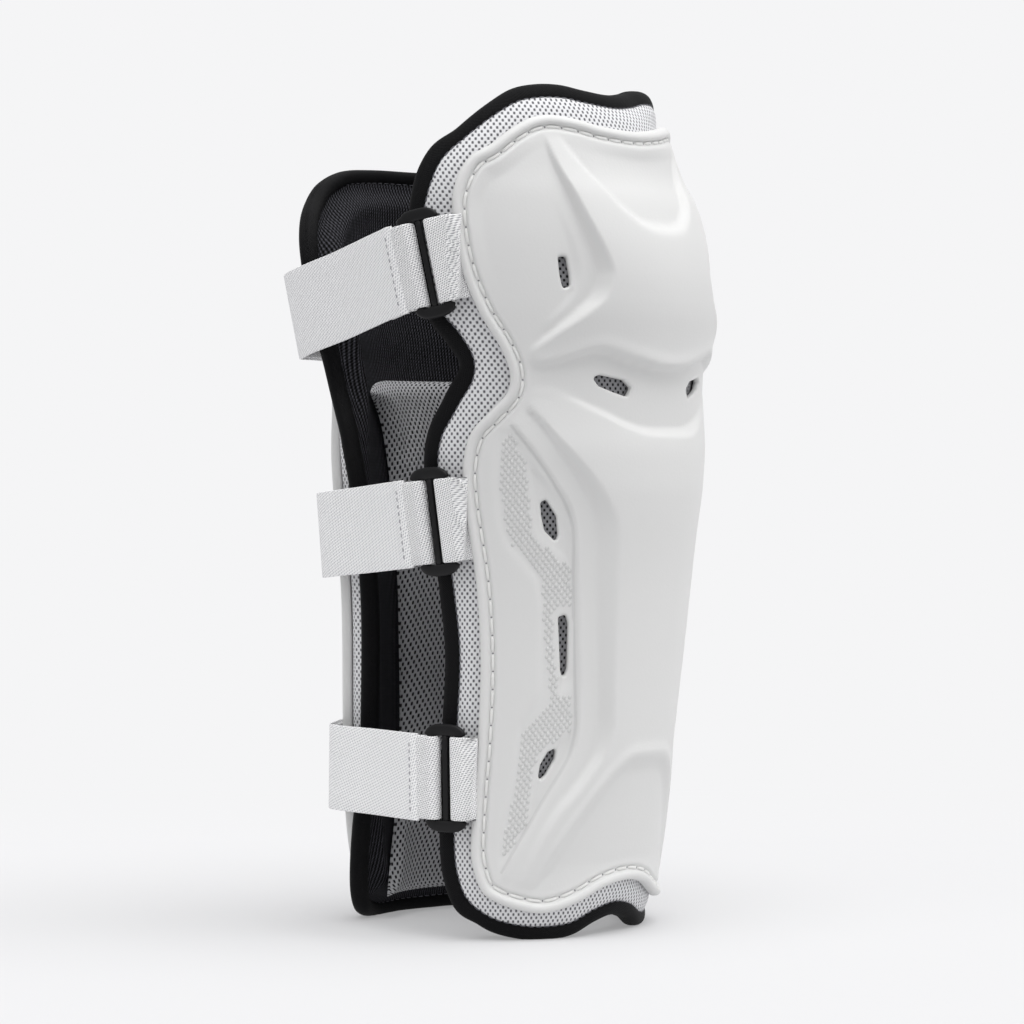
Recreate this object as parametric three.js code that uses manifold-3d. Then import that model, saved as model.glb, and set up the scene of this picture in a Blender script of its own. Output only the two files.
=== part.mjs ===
// An elbow and forearm guard, standing on its lower edge: a moulded shell over a padded sleeve
// that is open along one side, with a bound edge, an inner cushion and three straps across the gap.
// Millimetres, +Z up. Places on the sleeve are given by a turn in degrees, counted from the front
// (-Y) towards +X, and a height above the floor. A depth is measured inwards from the shell's
// plain outer surface, so relief and straps that stand proud have a negative depth.
import * as THREE from "three";
import { mergeVertices } from "three/addons/utils/BufferGeometryUtils.js";
import Module from "manifold-3d";

const wasm = await Module();
wasm.setup();

// Driving dimensions
const CENTRE_X = 2.9; // where the sleeve's axis stands, so that the whole guard is centred on the origin
const CENTRE_Y = 0.3;
const SHIFT_TURN = 40; // direction in which the sections lean off the axis
const CLEAR = 0.3; // gap between pieces that lie against each other
const SHELL_WALL = 2.5;
const FACET_CLEAR = 0.6; // the same where a coarse mesh's flats would otherwise touch
const PAD_TOP = SHELL_WALL + FACET_CLEAR; // depth of the pad's outer face
const PAD_WALL = 7.8;
const LINING_TOP = PAD_TOP + PAD_WALL + CLEAR;
const LINING_WALL = 1.2;
const CUSHION_TOP = LINING_TOP + LINING_WALL + FACET_CLEAR + CLEAR;
const CUSHION_WALL = 4.6;
const EDGE_DROP = 1.9; // how far the pad's outer face sinks to meet the binding
const BINDING_WIDTH = 6.2; // along the sleeve's surface, inwards from the edge
const BINDING_DEPTH = 7.6; // depth of the binding's middle
const BINDING_HALF = 4.7; // half its thickness through the wall
const BINDING_SIDES = 8; // of its section

// Sections of the sleeve, from the floor up: radius of the shell and how far its centre leans
const SECTIONS = [
  { height: -5, radius: 55.4, shift: -2.4 },
  { height: 37, radius: 58.0, shift: -1.6 },
  { height: 73, radius: 60.4, shift: 0.4 },
  { height: 121, radius: 63.2, shift: 2.6 },
  { height: 169, radius: 67.3, shift: 2.6 },
  { height: 195, radius: 68.4, shift: 2.2 },
  { height: 224, radius: 72.2, shift: -0.4 },
  { height: 245, radius: 74.0, shift: -2.2 },
  { height: 260, radius: 73.0, shift: -4.0 },
  { height: 272, radius: 70.2, shift: -6.6 },
  { height: 286, radius: 65.6, shift: -7.6 },
  { height: 305, radius: 58.5, shift: -8.0 },
];

// The bound edge of the sleeve, side by side: [turn, height], with the corners shared
const EDGE = {
  near: [
    [-67.5, 11], [-72.6, 22], [-74.2, 40], [-74, 77], [-73.8, 100], [-76.4, 124], [-80.2, 160],
    [-78.6, 177], [-72, 190], [-66.2, 201], [-68.8, 209.4], [-73.4, 218], [-75, 238], [-74, 258],
    [-67.5, 276],
  ],
  top: [
    [-67.5, 276], [-60.3, 284.4], [-51.3, 292.5], [-42.7, 297.6], [-34, 300], [-24, 299], [-13, 295.8],
    [0, 294], [13, 295.8], [24, 299], [35, 300], [52, 297], [78, 288.5], [108, 281], [145, 278],
    [178, 277.4], [193, 275.6], [204, 271.6], [212, 266.6],
  ],
  far: [
    [215.5, 3.4], [221, 12], [226, 33], [228.6, 60], [229.4, 90], [229.4, 125], [228.4, 156],
    [225, 178], [221.4, 194], [221.8, 206], [224.6, 224], [226.2, 240], [224.6, 252], [219.6, 260.6],
    [212, 266.6],
  ],
  bottom: [
    [-67.5, 11], [-57, 3.6], [-44, 0.2], [-33, -0.5], [-21, 0.6], [-10, 4.6], [0, 6.4], [10, 4.6],
    [21, 0.6], [33, -0.5], [48, 0.4], [80, 2.2], [115, 2], [150, 0], [180, -0.5], [203, -0.4],
    [215.5, 3.4],
  ],
};

// The rim of the shell, laid out the same way
const RIM = {
  near: [
    [-57.5, 17.5], [-61.2, 28], [-61.5, 43], [-60.7, 72], [-60.8, 96], [-62.9, 126], [-65.8, 152],
    [-66.2, 165], [-63.4, 178], [-57.4, 185.6], [-52.4, 192], [-51.4, 198.5], [-53.4, 207],
    [-58, 218.4], [-61.5, 232], [-63, 247], [-61.8, 262], [-56.5, 274.5],
  ],
  top: [
    [-56.5, 274.5], [-51.5, 278.8], [-44.7, 284.2], [-38.3, 287], [-32.8, 288], [-24, 286.8],
    [-14, 284], [0, 282.6], [14, 284], [25, 286.8], [35, 288], [52, 285], [78, 276.5], [108, 269],
    [145, 266], [178, 265.4], [189, 263.8], [197, 260],
  ],
  far: [
    [204.5, 16], [209.6, 25], [214, 40], [217, 62], [218, 95], [218, 125], [216.8, 153],
    [213.2, 176], [209.4, 193], [209.6, 206], [212, 222], [213.4, 237], [211.2, 247.4], [205.6, 255],
    [197, 260],
  ],
  bottom: [
    [-57.5, 17.5], [-53, 14.2], [-44.5, 11.2], [-35, 9.8], [-23.3, 12.6], [-11, 17.8], [0, 19.4],
    [11, 17.8], [23.3, 12.6], [35, 9.8], [50, 10.4], [80, 12.4], [115, 12], [150, 10.4], [180, 10],
    [197, 11.2], [204.5, 16],
  ],
};

// The inner cushion that lies in the forearm half of the sleeve
const CUSHION = { nearTurn: -56, farTurn: 195, low: 10.5, high: 196, corner: 8, slack: 3 };

// Elbow cup: the step from the side panel (foot) up to the dome (brow), by height
const CUP_STEP = [
  { height: 200, foot: 47, brow: 44, rise: 0 },
  { height: 208, foot: 45, brow: 40.5, rise: 1.2 },
  { height: 215, foot: 38, brow: 32, rise: 3.6 },
  { height: 222, foot: 31, brow: 24, rise: 4.9 },
  { height: 229, foot: 27, brow: 19.8, rise: 5.4 },
  { height: 237, foot: 25.6, brow: 20, rise: 5.2 },
  { height: 246, foot: 27, brow: 22.2, rise: 4.6 },
  { height: 258, foot: 30.4, brow: 26.4, rise: 3.2 },
  { height: 270, foot: 34, brow: 31, rise: 1.5 },
  { height: 282, foot: 37.5, brow: 36, rise: 0 },
];
// Neck below the cup: the fold under the dome and the shoulder of the forearm, by turn
const NECK = [
  { turn: 0, foldHigh: 201.6, foldLow: 197.2, shoulderHigh: 178.6, shoulderLow: 173.2, rise: 4.4 },
  { turn: 7, foldHigh: 203.2, foldLow: 198.8, shoulderHigh: 180.2, shoulderLow: 174.6, rise: 4.4 },
  { turn: 16, foldHigh: 206.8, foldLow: 202.4, shoulderHigh: 184.4, shoulderLow: 178.4, rise: 4.2 },
  { turn: 25, foldHigh: 208.3, foldLow: 204.4, shoulderHigh: 189.2, shoulderLow: 182.6, rise: 3.6 },
  { turn: 34, foldHigh: 205.8, foldLow: 202.9, shoulderHigh: 193, shoulderLow: 187.6, rise: 2.4 },
  { turn: 44, foldHigh: 201.6, foldLow: 200.2, shoulderHigh: 194, shoulderLow: 191, rise: 0.4 },
  { turn: 52, foldHigh: 200.5, foldLow: 199.5, shoulderHigh: 194, shoulderLow: 192, rise: 0 },
];
// Forearm: the rail beside the side panel and the slope from it up to the middle, by height
const FOREARM = [
  { height: 14, rail: 56, foot: 53, brow: 48, railRise: 0, rise: 0 },
  { height: 27, rail: 54, foot: 49, brow: 40, railRise: 0.5, rise: 0.8 },
  { height: 38, rail: 47, foot: 41, brow: 31, railRise: 0.9, rise: 1.6 },
  { height: 50, rail: 39, foot: 32.5, brow: 23, railRise: 1, rise: 2.4 },
  { height: 60, rail: 32.4, foot: 26, brow: 17.6, railRise: 1, rise: 2.8 },
  { height: 72, rail: 28.2, foot: 22.6, brow: 16, railRise: 1, rise: 3 },
  { height: 92, rail: 29.2, foot: 23.4, brow: 17, railRise: 1, rise: 3 },
  { height: 120, rail: 30.8, foot: 24.6, brow: 18.4, railRise: 1, rise: 3 },
  { height: 144, rail: 31.6, foot: 25.6, brow: 19.4, railRise: 1, rise: 3 },
  { height: 155, rail: 33.4, foot: 28, brow: 21.6, railRise: 1, rise: 3 },
  { height: 162, rail: 38.8, foot: 33, brow: 26.4, railRise: 0.9, rise: 2.8 },
  { height: 172, rail: 46, foot: 41, brow: 35, railRise: 0.7, rise: 2 },
  { height: 181, rail: 52, foot: 48.6, brow: 43.4, railRise: 0.4, rise: 1 },
  { height: 190, rail: 56, foot: 54, brow: 50, railRise: 0, rise: 0 },
];
const TOP_PANEL = { low: 250, curve: 0.06, step: 6, depth: 2.2, fadeFrom: 266, fadeTo: 284 };
const LOW_ARCH = { high: 60, curve: 0.043, step: 6, depth: 1.1 };
const CUP_LIP = { fadeFrom: 208, fadeTo: 232 }; // the dome's lower lip melts into the dome above it
const SHOULDER = { from: 18, to: 46, low: 120, high: 172, share: 0.35 }; // swell under the neck
const RAIL_EDGE = 1.5; // width in degrees of the rail's own edge
const RIM_BEAD = { width: 3.4, rise: 1.3, seam: 5.2, inside: 11.2 };
const RELIEF_END = { from: 58, to: 72 }; // beyond this turn the hidden side of the shell is plain

// Ventilation slots, repeated on both halves: middle, size, lean and how far one end tapers
const VENTS = [
  { turn: -33.8, height: 233.2, width: 4.2, length: 11.4, lean: 4, taper: 0.1 },
  { turn: -20.2, height: 194.4, width: 6, length: 15.6, lean: 74, taper: 0.1 },
  { turn: -39.6, height: 147.8, width: 7, length: 15.8, lean: -22, taper: 0.5 },
  { turn: -34, height: 103.8, width: 4.6, length: 22, lean: -4, taper: 0.25 },
  { turn: -36.6, height: 62.3, width: 5.4, length: 13, lean: 24, taper: 0.5 },
];
const VENT_REACH = 9; // how far a slot's cutter stands out of the wall on each side

// Straps: where each ring sits, how the strap slopes towards the far side, where it meets the
// shell's rim, where it bends round the far edge and how far off the sleeve, and how much the sleeve
// widens with height there
const STRAPS = {
  upper: { turn: -71.2, height: 236.2, slope: 10, rimTurn: -61.8, farTurn: 219, farLift: 4.6, lean: 0.1 },
  middle: { turn: -75.6, height: 147, slope: 5, rimTurn: -65.9, farTurn: 228, farLift: 2.4, lean: 0.085 },
  lower: { turn: -71, height: 57.4, slope: 0, rimTurn: -61.6, farTurn: 228, farLift: 2.4, lean: 0.066 },
};
const STRAP_WIDTH = 30;
const WEBBING = 1.4; // thickness of the woven elastic
const TAB = 1.2; // thickness of the fastening tab sewn on it
const TAB_START = 17; // along the strap, from the ring's middle
const UNDER_LENGTH = 20; // length of the strap's folded end
const RIM_LIFT = -2; // the webbing's middle where it leaves the shell's rim, on the pad
const LAP_LIFTS = [3.1, 2.9, 2.2, 1.9]; // beyond the bend the strap lies down on the shell
const LAP_STEP = 10; // degrees between those
// A ring stands off the shell by its lift and swings in from the tangent; the strap's sheet is flat by it
const RING = { width: 12, capWidth: 16, height: 40.4, bar: 2, thick: 2, lift: 0.8, swing: 8, flat: 10.5 };
const BOAT = { shoulder: -0.3, neck: 0.3, bow: 5, flare: 1.2 }; // the ring's end pieces
const ANCHOR_ROUTE = { rise: 3, riseOut: 1.5, tail: 1.6 }; // along the anchor, from its bar
const STRAP_ROUTE = { under: 5, dip: 4, dipOut: 1, level: 7.5, spare: 1 }; // along the strap, from its bar

// Shares of a length that divide it evenly
function even(count) {
  return Array.from({ length: count + 1 }, (_, i) => i / count);
}

// Mesh density: shares of each outline's length at which it is divided
const frontAndBack = (front, back, share) => [
  ...Array.from({ length: front }, (_, i) => (i / front) * share),
  ...Array.from({ length: back + 1 }, (_, i) => share + (i / back) * (1 - share)),
];
const FRONT_SHARE = 0.47; // the part of the sleeve that carries the relief
const SHELL_COLUMNS = frontAndBack(28, 12, FRONT_SHARE);
const SHELL_ROWS = even(25);
const SLEEVE_COLUMNS = frontAndBack(14, 10, FRONT_SHARE);
const SLEEVE_ROWS = [0, 0.05, 0.12, 0.28, 0.43, 0.55, 0.62, 0.665, 0.7, 0.735, 0.77, 0.86, 0.95, 1];
const CUSHION_GRID = { columns: 16, rows: 6 };
const STRAP_STEP = 6; // spacing of a strap's sections
const CURVE_STEPS = 800; // for measuring along curves

const RADIANS = Math.PI / 180;

// Helpers: tables and curves

// A table's column at x, on cubic pieces whose slopes follow the neighbouring rows
function tableAt(rows, key, column, x) {
  const last = rows.length - 1;
  const value = THREE.MathUtils.clamp(x, rows[0][key], rows[last][key]);
  let i = 0;
  while (i < last - 1 && value > rows[i + 1][key]) i++;
  const slope = (k) => {
    const a = rows[Math.max(k - 1, 0)];
    const b = rows[Math.min(k + 1, last)];
    return (b[column] - a[column]) / (b[key] - a[key]);
  };
  const span = rows[i + 1][key] - rows[i][key];
  const t = (value - rows[i][key]) / span;
  const t2 = t * t;
  const t3 = t2 * t;
  return (
    (2 * t3 - 3 * t2 + 1) * rows[i][column] +
    (t3 - 2 * t2 + t) * span * slope(i) +
    (3 * t2 - 2 * t3) * rows[i + 1][column] +
    (t3 - t2) * span * slope(i + 1)
  );
}

const smoothstep = (x, from, to) => {
  const t = THREE.MathUtils.clamp((x - from) / (to - from), 0, 1);
  return t * t * (3 - 2 * t);
};

const radiusAt = (height) => tableAt(SECTIONS, "height", "radius", height);

// The point of the sleeve at a turn, height and depth
function onSleeve(turn, height, depth) {
  const radius = radiusAt(height) - depth;
  const shift = tableAt(SECTIONS, "height", "shift", height);
  const a = turn * RADIANS;
  const lean = SHIFT_TURN * RADIANS;
  return new THREE.Vector3(
    CENTRE_X + radius * Math.sin(a) + shift * Math.sin(lean),
    CENTRE_Y - radius * Math.cos(a) - shift * Math.cos(lean),
    height,
  );
}

// Points along one side of an outline, at the given shares of its length
function sideAt(rows, shares) {
  const points = rows.map(([turn, height]) => new THREE.Vector3(turn, height, 0));
  const curve = new THREE.CatmullRomCurve3(points, false, "centripetal");
  curve.arcLengthDivisions = CURVE_STEPS;
  return shares.map((share) => {
    const p = curve.getPointAt(share);
    return { turn: p.x, height: p.y };
  });
}

// The four sides of an outline as matching rows of points
function outlineOf(sides, columnShares, rowShares) {
  return {
    near: sideAt(sides.near, rowShares),
    far: sideAt(sides.far, rowShares),
    bottom: sideAt(sides.bottom, columnShares),
    top: sideAt(sides.top, columnShares),
    columnShares,
    rowShares,
  };
}

// The outline as one loop, anticlockwise seen from outside
const loopOf = (o) => [
  ...o.bottom.slice(0, -1),
  ...o.far.slice(0, -1),
  ...[...o.top].reverse().slice(0, -1),
  ...[...o.near].reverse().slice(0, -1),
];

// Unit directions into the sleeve at each point of a loop, as degrees and millimetres per millimetre
function inwardOf(loop) {
  return loop.map((p, i) => {
    const before = loop[(i + loop.length - 1) % loop.length];
    const after = loop[(i + 1) % loop.length];
    const degree = radiusAt(p.height) * RADIANS;
    const along = (after.turn - before.turn) * degree;
    const up = after.height - before.height;
    const length = Math.hypot(along, up);
    return { turn: -up / length / degree, height: along / length };
  });
}

// The outline moved inwards over the sleeve's surface
function insetOutline(outline, distance) {
  const loop = loopOf(outline);
  const inward = inwardOf(loop);
  const moved = loop.map((p, i) => ({
    turn: p.turn + inward[i].turn * distance,
    height: p.height + inward[i].height * distance,
  }));
  const columns = outline.columnShares.length - 1;
  const rows = outline.rowShares.length - 1;
  const at = (i) => moved[i % moved.length];
  return {
    ...outline,
    bottom: outline.bottom.map((_, i) => at(i)),
    far: outline.far.map((_, i) => at(columns + i)),
    top: outline.top.map((_, i) => at(2 * columns + rows - i)),
    near: outline.near.map((_, i) => at(2 * columns + 2 * rows - i)),
  };
}

// Places inside an outline, row by row, blended from its four sides
function fill(outline) {
  const { near, far, bottom, top, columnShares, rowShares } = outline;
  const n = columnShares.length - 1;
  return rowShares.map((t, j) =>
    columnShares.map((s, i) => {
      const blend = (key) =>
        (1 - t) * bottom[i][key] + t * top[i][key] + (1 - s) * near[j][key] + s * far[j][key] -
        (1 - s) * (1 - t) * bottom[0][key] - s * (1 - t) * bottom[n][key] -
        (1 - s) * t * top[0][key] - s * t * top[n][key];
      return { turn: blend("turn"), height: blend("height") };
    }),
  );
}

// Helpers: meshes and solids

function geometryOf(points, triangles) {
  const geometry = new THREE.BufferGeometry();
  geometry.setAttribute("position", new THREE.Float32BufferAttribute(points.flatMap((p) => p.toArray()), 3));
  geometry.setIndex(triangles);
  return geometry;
}

const quad = (a, b, c, d) => [a, b, c, a, c, d];

// A closed wall between two grids of points, the first one outside; both are cut along the same diagonals
function wall(outer, inner) {
  const rows = outer.length;
  const columns = outer[0].length;
  const half = rows * columns;
  const at = (i, j) => j * columns + i;
  const triangles = [];
  for (let j = 0; j < rows - 1; j++)
    for (let i = 0; i < columns - 1; i++) {
      const [a, b, c, d] = [at(i, j), at(i + 1, j), at(i + 1, j + 1), at(i, j + 1)];
      triangles.push(...quad(a, b, c, d));
      triangles.push(...quad(a + half, d + half, c + half, b + half));
    }
  const border = [];
  for (let i = 0; i < columns - 1; i++) border.push(at(i, 0));
  for (let j = 0; j < rows - 1; j++) border.push(at(columns - 1, j));
  for (let i = columns - 1; i > 0; i--) border.push(at(i, rows - 1));
  for (let j = rows - 1; j > 0; j--) border.push(at(0, j));
  border.forEach((a, k) => {
    const b = border[(k + 1) % border.length];
    triangles.push(...quad(b, a, a + half, b + half));
  });
  return geometryOf([...outer.flat(), ...inner.flat()], triangles);
}

// A solid lofted through closed sections; ends are capped unless it closes on itself
function loft(sections, closed) {
  const count = sections[0].length;
  const triangles = [];
  const spans = closed ? sections.length : sections.length - 1;
  for (let k = 0; k < spans; k++)
    for (let i = 0; i < count; i++) {
      const next = (i + 1) % count;
      const a = k * count;
      const b = ((k + 1) % sections.length) * count;
      triangles.push(...quad(a + i, a + next, b + next, b + i));
    }
  if (!closed)
    for (let i = 1; i < count - 1; i++) {
      const end = (sections.length - 1) * count;
      triangles.push(0, i + 1, i, end, end + i, end + i + 1);
    }
  return geometryOf(sections.flat(), triangles);
}

function solidOf(geometry) {
  const bare = geometry.clone();
  bare.deleteAttribute("normal");
  bare.deleteAttribute("uv");
  const merged = mergeVertices(bare, 1e-4);
  return new wasm.Manifold(
    new wasm.Mesh({
      numProp: 3,
      vertProperties: merged.attributes.position.array,
      triVerts: new Uint32Array(merged.index.array),
    }),
  );
}

function geometryFrom(solid) {
  const mesh = solid.getMesh();
  const geometry = new THREE.BufferGeometry();
  geometry.setAttribute("position", new THREE.BufferAttribute(mesh.vertProperties, 3));
  geometry.setIndex(new THREE.BufferAttribute(mesh.triVerts, 1));
  return geometry;
}

// Shell

// Height of the moulded relief above the plain shell
function reliefAt(turn, height, fromRim) {
  const side = Math.abs(turn);
  const neck = (column) => tableAt(NECK, "turn", column, side);
  const cup = (column) => tableAt(CUP_STEP, "height", column, height);
  const arm = (column) => tableAt(FOREARM, "height", column, height);
  const shown = 1 - smoothstep(turn, RELIEF_END.from, RELIEF_END.to);

  const dome = cup("rise") * (1 - smoothstep(side, cup("brow"), cup("foot")));
  const overNeck = smoothstep(height, neck("foldLow"), neck("foldHigh"));
  const lip = neck("rise") * overNeck * (1 - smoothstep(height, CUP_LIP.fadeFrom, CUP_LIP.fadeTo));
  const panelLow = TOP_PANEL.low + TOP_PANEL.curve * side * side;
  const panel =
    TOP_PANEL.depth *
    smoothstep(height, panelLow, panelLow + TOP_PANEL.step) *
    (1 - smoothstep(height, TOP_PANEL.fadeFrom, TOP_PANEL.fadeTo));

  const underNeck = 1 - smoothstep(height, neck("shoulderLow"), neck("shoulderHigh"));
  const rail = arm("railRise") * (1 - smoothstep(side, arm("rail") - RAIL_EDGE, arm("rail")));
  const middle = arm("rise") * (1 - smoothstep(side, arm("brow"), arm("foot")));
  const shoulder =
    SHOULDER.share *
    neck("rise") *
    (1 - smoothstep(side, SHOULDER.from, SHOULDER.to)) *
    smoothstep(height, SHOULDER.low, SHOULDER.high);
  const archHigh = LOW_ARCH.high - LOW_ARCH.curve * side * side;
  const arch = LOW_ARCH.depth * (1 - smoothstep(height, archHigh - LOW_ARCH.step, archHigh));

  const inside = smoothstep(fromRim, RIM_BEAD.seam, RIM_BEAD.inside);
  const bead = RIM_BEAD.rise * (1 - smoothstep(fromRim, RIM_BEAD.width, RIM_BEAD.seam));
  const raised = Math.max(dome * overNeck, lip) + underNeck * (rail + middle + shoulder);
  return bead + inside * shown * Math.max(raised - panel - arch, 0);
}

function makeShell() {
  const rim = outlineOf(RIM, SHELL_COLUMNS, SHELL_ROWS);
  const edge = loopOf(rim);
  const inner = fill(insetOutline(rim, RIM_BEAD.width));
  const lastRow = SHELL_ROWS.length - 1;
  const lastColumn = SHELL_COLUMNS.length - 1;
  // The ring of points next to the rim is drawn in to the bead's width
  const outward = (k, last) => (k === 1 ? 0 : k === last - 1 ? last : k);
  const places = fill(rim).map((row, j) =>
    row.map((p, i) =>
      Math.min(i, j, lastColumn - i, lastRow - j) === 1
        ? inner[outward(j, lastRow)][outward(i, lastColumn)]
        : p,
    ),
  );
  const fromRim = (p) => {
    const degree = radiusAt(p.height) * RADIANS;
    return Math.min(...edge.map((e) => Math.hypot((e.turn - p.turn) * degree, e.height - p.height)));
  };
  const relief = places.map((row) => row.map((p) => reliefAt(p.turn, p.height, fromRim(p))));
  const at = (depth) =>
    places.map((row, j) => row.map((p, i) => onSleeve(p.turn, p.height, depth - relief[j][i])));
  const plain = solidOf(wall(at(0), at(SHELL_WALL)));
  const mirrored = VENTS.map((vent) => ({ ...vent, turn: -vent.turn, lean: -vent.lean }));
  const cut = [...VENTS, ...mirrored].reduce(
    (solid, vent) => solid.subtract(solidOf(makeVentCutter(vent))),
    plain,
  );
  return geometryFrom(cut);
}

// A slot's cutter: a rounded, tapering bar that points along the sleeve's radius
function makeVentCutter(vent) {
  const half = vent.width / 2;
  const ends = vent.length / 2 - half;
  const outline = new THREE.Shape();
  outline.absarc(0, ends, half * (1 - vent.taper), 0, Math.PI);
  outline.absarc(0, -ends, half, Math.PI, 2 * Math.PI);
  const bar = new THREE.ExtrudeGeometry(outline, {
    depth: 2 * VENT_REACH,
    bevelEnabled: false,
    curveSegments: 4,
  });
  bar.translate(0, 0, -VENT_REACH);
  bar.rotateZ(-vent.lean * RADIANS);
  bar.rotateX(Math.PI / 2);
  bar.rotateZ(vent.turn * RADIANS);
  const place = onSleeve(vent.turn, vent.height, 0);
  return bar.translate(place.x, place.y, place.z);
}

// Sleeve: pad, lining, binding and cushion

// A layer of the sleeve that stops just inside the binding
function makeLayer(depth, thickness, drop) {
  const edge = outlineOf(EDGE, SLEEVE_COLUMNS, SLEEVE_ROWS);
  const places = fill(insetOutline(edge, BINDING_WIDTH + CLEAR));
  const last = { row: places.length - 1, column: places[0].length - 1 };
  const isEdge = (i, j) => i === 0 || j === 0 || i === last.column || j === last.row;
  const outer = places.map((row, j) =>
    row.map((p, i) => onSleeve(p.turn, p.height, depth + (isEdge(i, j) ? drop : 0))),
  );
  const inner = places.map((row) => row.map((p) => onSleeve(p.turn, p.height, depth + thickness)));
  return wall(outer, inner);
}

// The binding folds over the edge all the way round; the floor flattens it where the guard stands
function makeBinding() {
  const edge = outlineOf(EDGE, SLEEVE_COLUMNS, SLEEVE_ROWS);
  const loop = loopOf(edge);
  const inward = inwardOf(loop);
  const corners = even(BINDING_SIDES).slice(0, -1).map((share) => (share + 0.5 / BINDING_SIDES) * 360);
  const round = BINDING_WIDTH / 2 / Math.cos(corners[0] * RADIANS);
  const thick = BINDING_HALF / Math.cos(corners[0] * RADIANS);
  const sections = loop.map((p, i) =>
    corners.map((corner) => {
      const inset = BINDING_WIDTH / 2 - round * Math.cos(corner * RADIANS);
      const point = onSleeve(
        p.turn + inward[i].turn * inset,
        p.height + inward[i].height * inset,
        BINDING_DEPTH + thick * Math.sin(corner * RADIANS),
      );
      point.z = Math.max(point.z, 0);
      return point;
    }),
  );
  return loft(sections, true);
}

function makeCushion() {
  const columns = even(CUSHION_GRID.columns);
  const rows = even(CUSHION_GRID.rows);
  const { nearTurn, farTurn, low, high, corner, slack } = CUSHION;
  const degree = (height) => (radiusAt(height) - CUSHION_TOP) * RADIANS;
  const places = rows.map((t) =>
    columns.map((s) => {
      const height = THREE.MathUtils.lerp(low, high, t);
      const fromEnd = Math.min(t, 1 - t) * (high - low);
      const cut = Math.max(0, 1 - fromEnd / corner);
      const round = (corner * (1 - Math.sqrt(1 - cut * cut))) / degree(height);
      return { turn: THREE.MathUtils.lerp(nearTurn + round, farTurn - round, s), height };
    }),
  );
  const isEdge = (i, j) =>
    i === 0 || j === 0 || i === CUSHION_GRID.columns || j === CUSHION_GRID.rows;
  const at = (depth, edgeDepth) =>
    places.map((row, j) =>
      row.map((p, i) => onSleeve(p.turn, p.height, isEdge(i, j) ? edgeDepth : depth)),
    );
  return wall(at(CUSHION_TOP, CUSHION_TOP), at(CUSHION_TOP + CUSHION_WALL, CUSHION_TOP + slack));
}

// Straps

// The sheet in which a strap lies: its plan line from the shell's rim to its far end
function strapLine(strap) {
  const plan = (turn, lift) => onSleeve(turn, strap.height, -lift).setZ(0);
  const near = plan(strap.turn, RING.lift);
  const far = plan(strap.farTurn, strap.farLift);
  const ahead = (strap.turn - RING.swing) * RADIANS;
  const along = new THREE.Vector3(-Math.cos(ahead), -Math.sin(ahead), 0);
  const beside = (distance) => near.clone().addScaledVector(along, distance);
  const line = new THREE.CatmullRomCurve3(
    [
      plan(strap.rimTurn + 5, RIM_LIFT),
      plan(strap.rimTurn, RIM_LIFT),
      ...[-1, -0.85, 0, 0.85, 1].map((share) => beside(share * RING.flat)),
      beside(RING.flat).lerp(far, 0.5),
      far,
      ...LAP_LIFTS.map((lift, k) => plan(strap.farTurn - LAP_STEP * (k + 1), lift)),
    ],
    false,
    "centripetal",
  );
  line.arcLengthDivisions = CURVE_STEPS;
  const length = line.getLength();
  const nearest = even(CURVE_STEPS).reduce((best, share) =>
    line.getPointAt(share).distanceTo(near) < line.getPointAt(best).distanceTo(near) ? share : best,
  );
  const bend = even(CURVE_STEPS).reduce((best, share) =>
    line.getPointAt(share).distanceTo(far) < line.getPointAt(best).distanceTo(far) ? share : best,
  );
  return { line, length, toRing: nearest * length, toBend: (nearest - bend) * length };
}

// A point of a strap: along it from the ring (rim side positive), across it and out of its sheet,
// which leans with the widening sleeve; the strap slopes up to its bend and is level beyond it
function onStrap(strap, sheet, along, across, out) {
  const slope = strap.slope * RADIANS;
  const run = along * Math.cos(slope) - across * Math.sin(slope);
  const rise = Math.max(along, sheet.toBend) * Math.sin(slope) + across * Math.cos(slope);
  const share = THREE.MathUtils.clamp((sheet.toRing - run) / sheet.length, 0, 1);
  const point = sheet.line.getPointAt(share);
  const tangent = sheet.line.getTangentAt(share);
  const off = out + strap.lean * rise;
  return new THREE.Vector3(point.x - tangent.y * off, point.y + tangent.x * off, strap.height + rise);
}

// A ribbon of webbing that follows a route of [along, out] points in the strap's sheet
function makeRibbon(strap, sheet, route, thickness) {
  const sections = route.map(([along, out], k) => {
    const before = route[Math.max(k - 1, 0)];
    const after = route[Math.min(k + 1, route.length - 1)];
    const length = Math.hypot(after[0] - before[0], after[1] - before[1]);
    const side = [-(after[1] - before[1]) / length, (after[0] - before[0]) / length];
    return [[-1, -1], [-1, 1], [1, 1], [1, -1]].map(([face, end]) =>
      onStrap(
        strap, sheet,
        along + (side[0] * face * thickness) / 2,
        (end * STRAP_WIDTH) / 2,
        out + (side[1] * face * thickness) / 2,
      ),
    );
  });
  const geometry = loft(sections, false);
  return solidOf(geometry).volume() < 0 ? reversed(geometry) : geometry;
}

function reversed(geometry) {
  const index = [...geometry.index.array];
  for (let k = 0; k < index.length; k += 3) [index[k + 1], index[k + 2]] = [index[k + 2], index[k + 1]];
  geometry.setIndex(index);
  return geometry;
}

// Half a turn round a ring's bar, from the outer face to the inner one
const FOLD = RING.thick / 2 + FACET_CLEAR + CLEAR + WEBBING / 2;
const barFold = (bar, direction) =>
  [90, 45, 0, -45, -90].map((a) => [
    bar + direction * FOLD * Math.cos(a * RADIANS),
    FOLD * Math.sin(a * RADIANS),
  ]);
const barAt = RING.width / 2 - RING.bar / 2;

// Evenly spaced points of a straight run at one level
const run = (from, to, out) => {
  const steps = Math.max(1, Math.round(Math.abs(to - from) / STRAP_STEP));
  return even(steps).map((s) => [THREE.MathUtils.lerp(from, to, s), out]);
};

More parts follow.
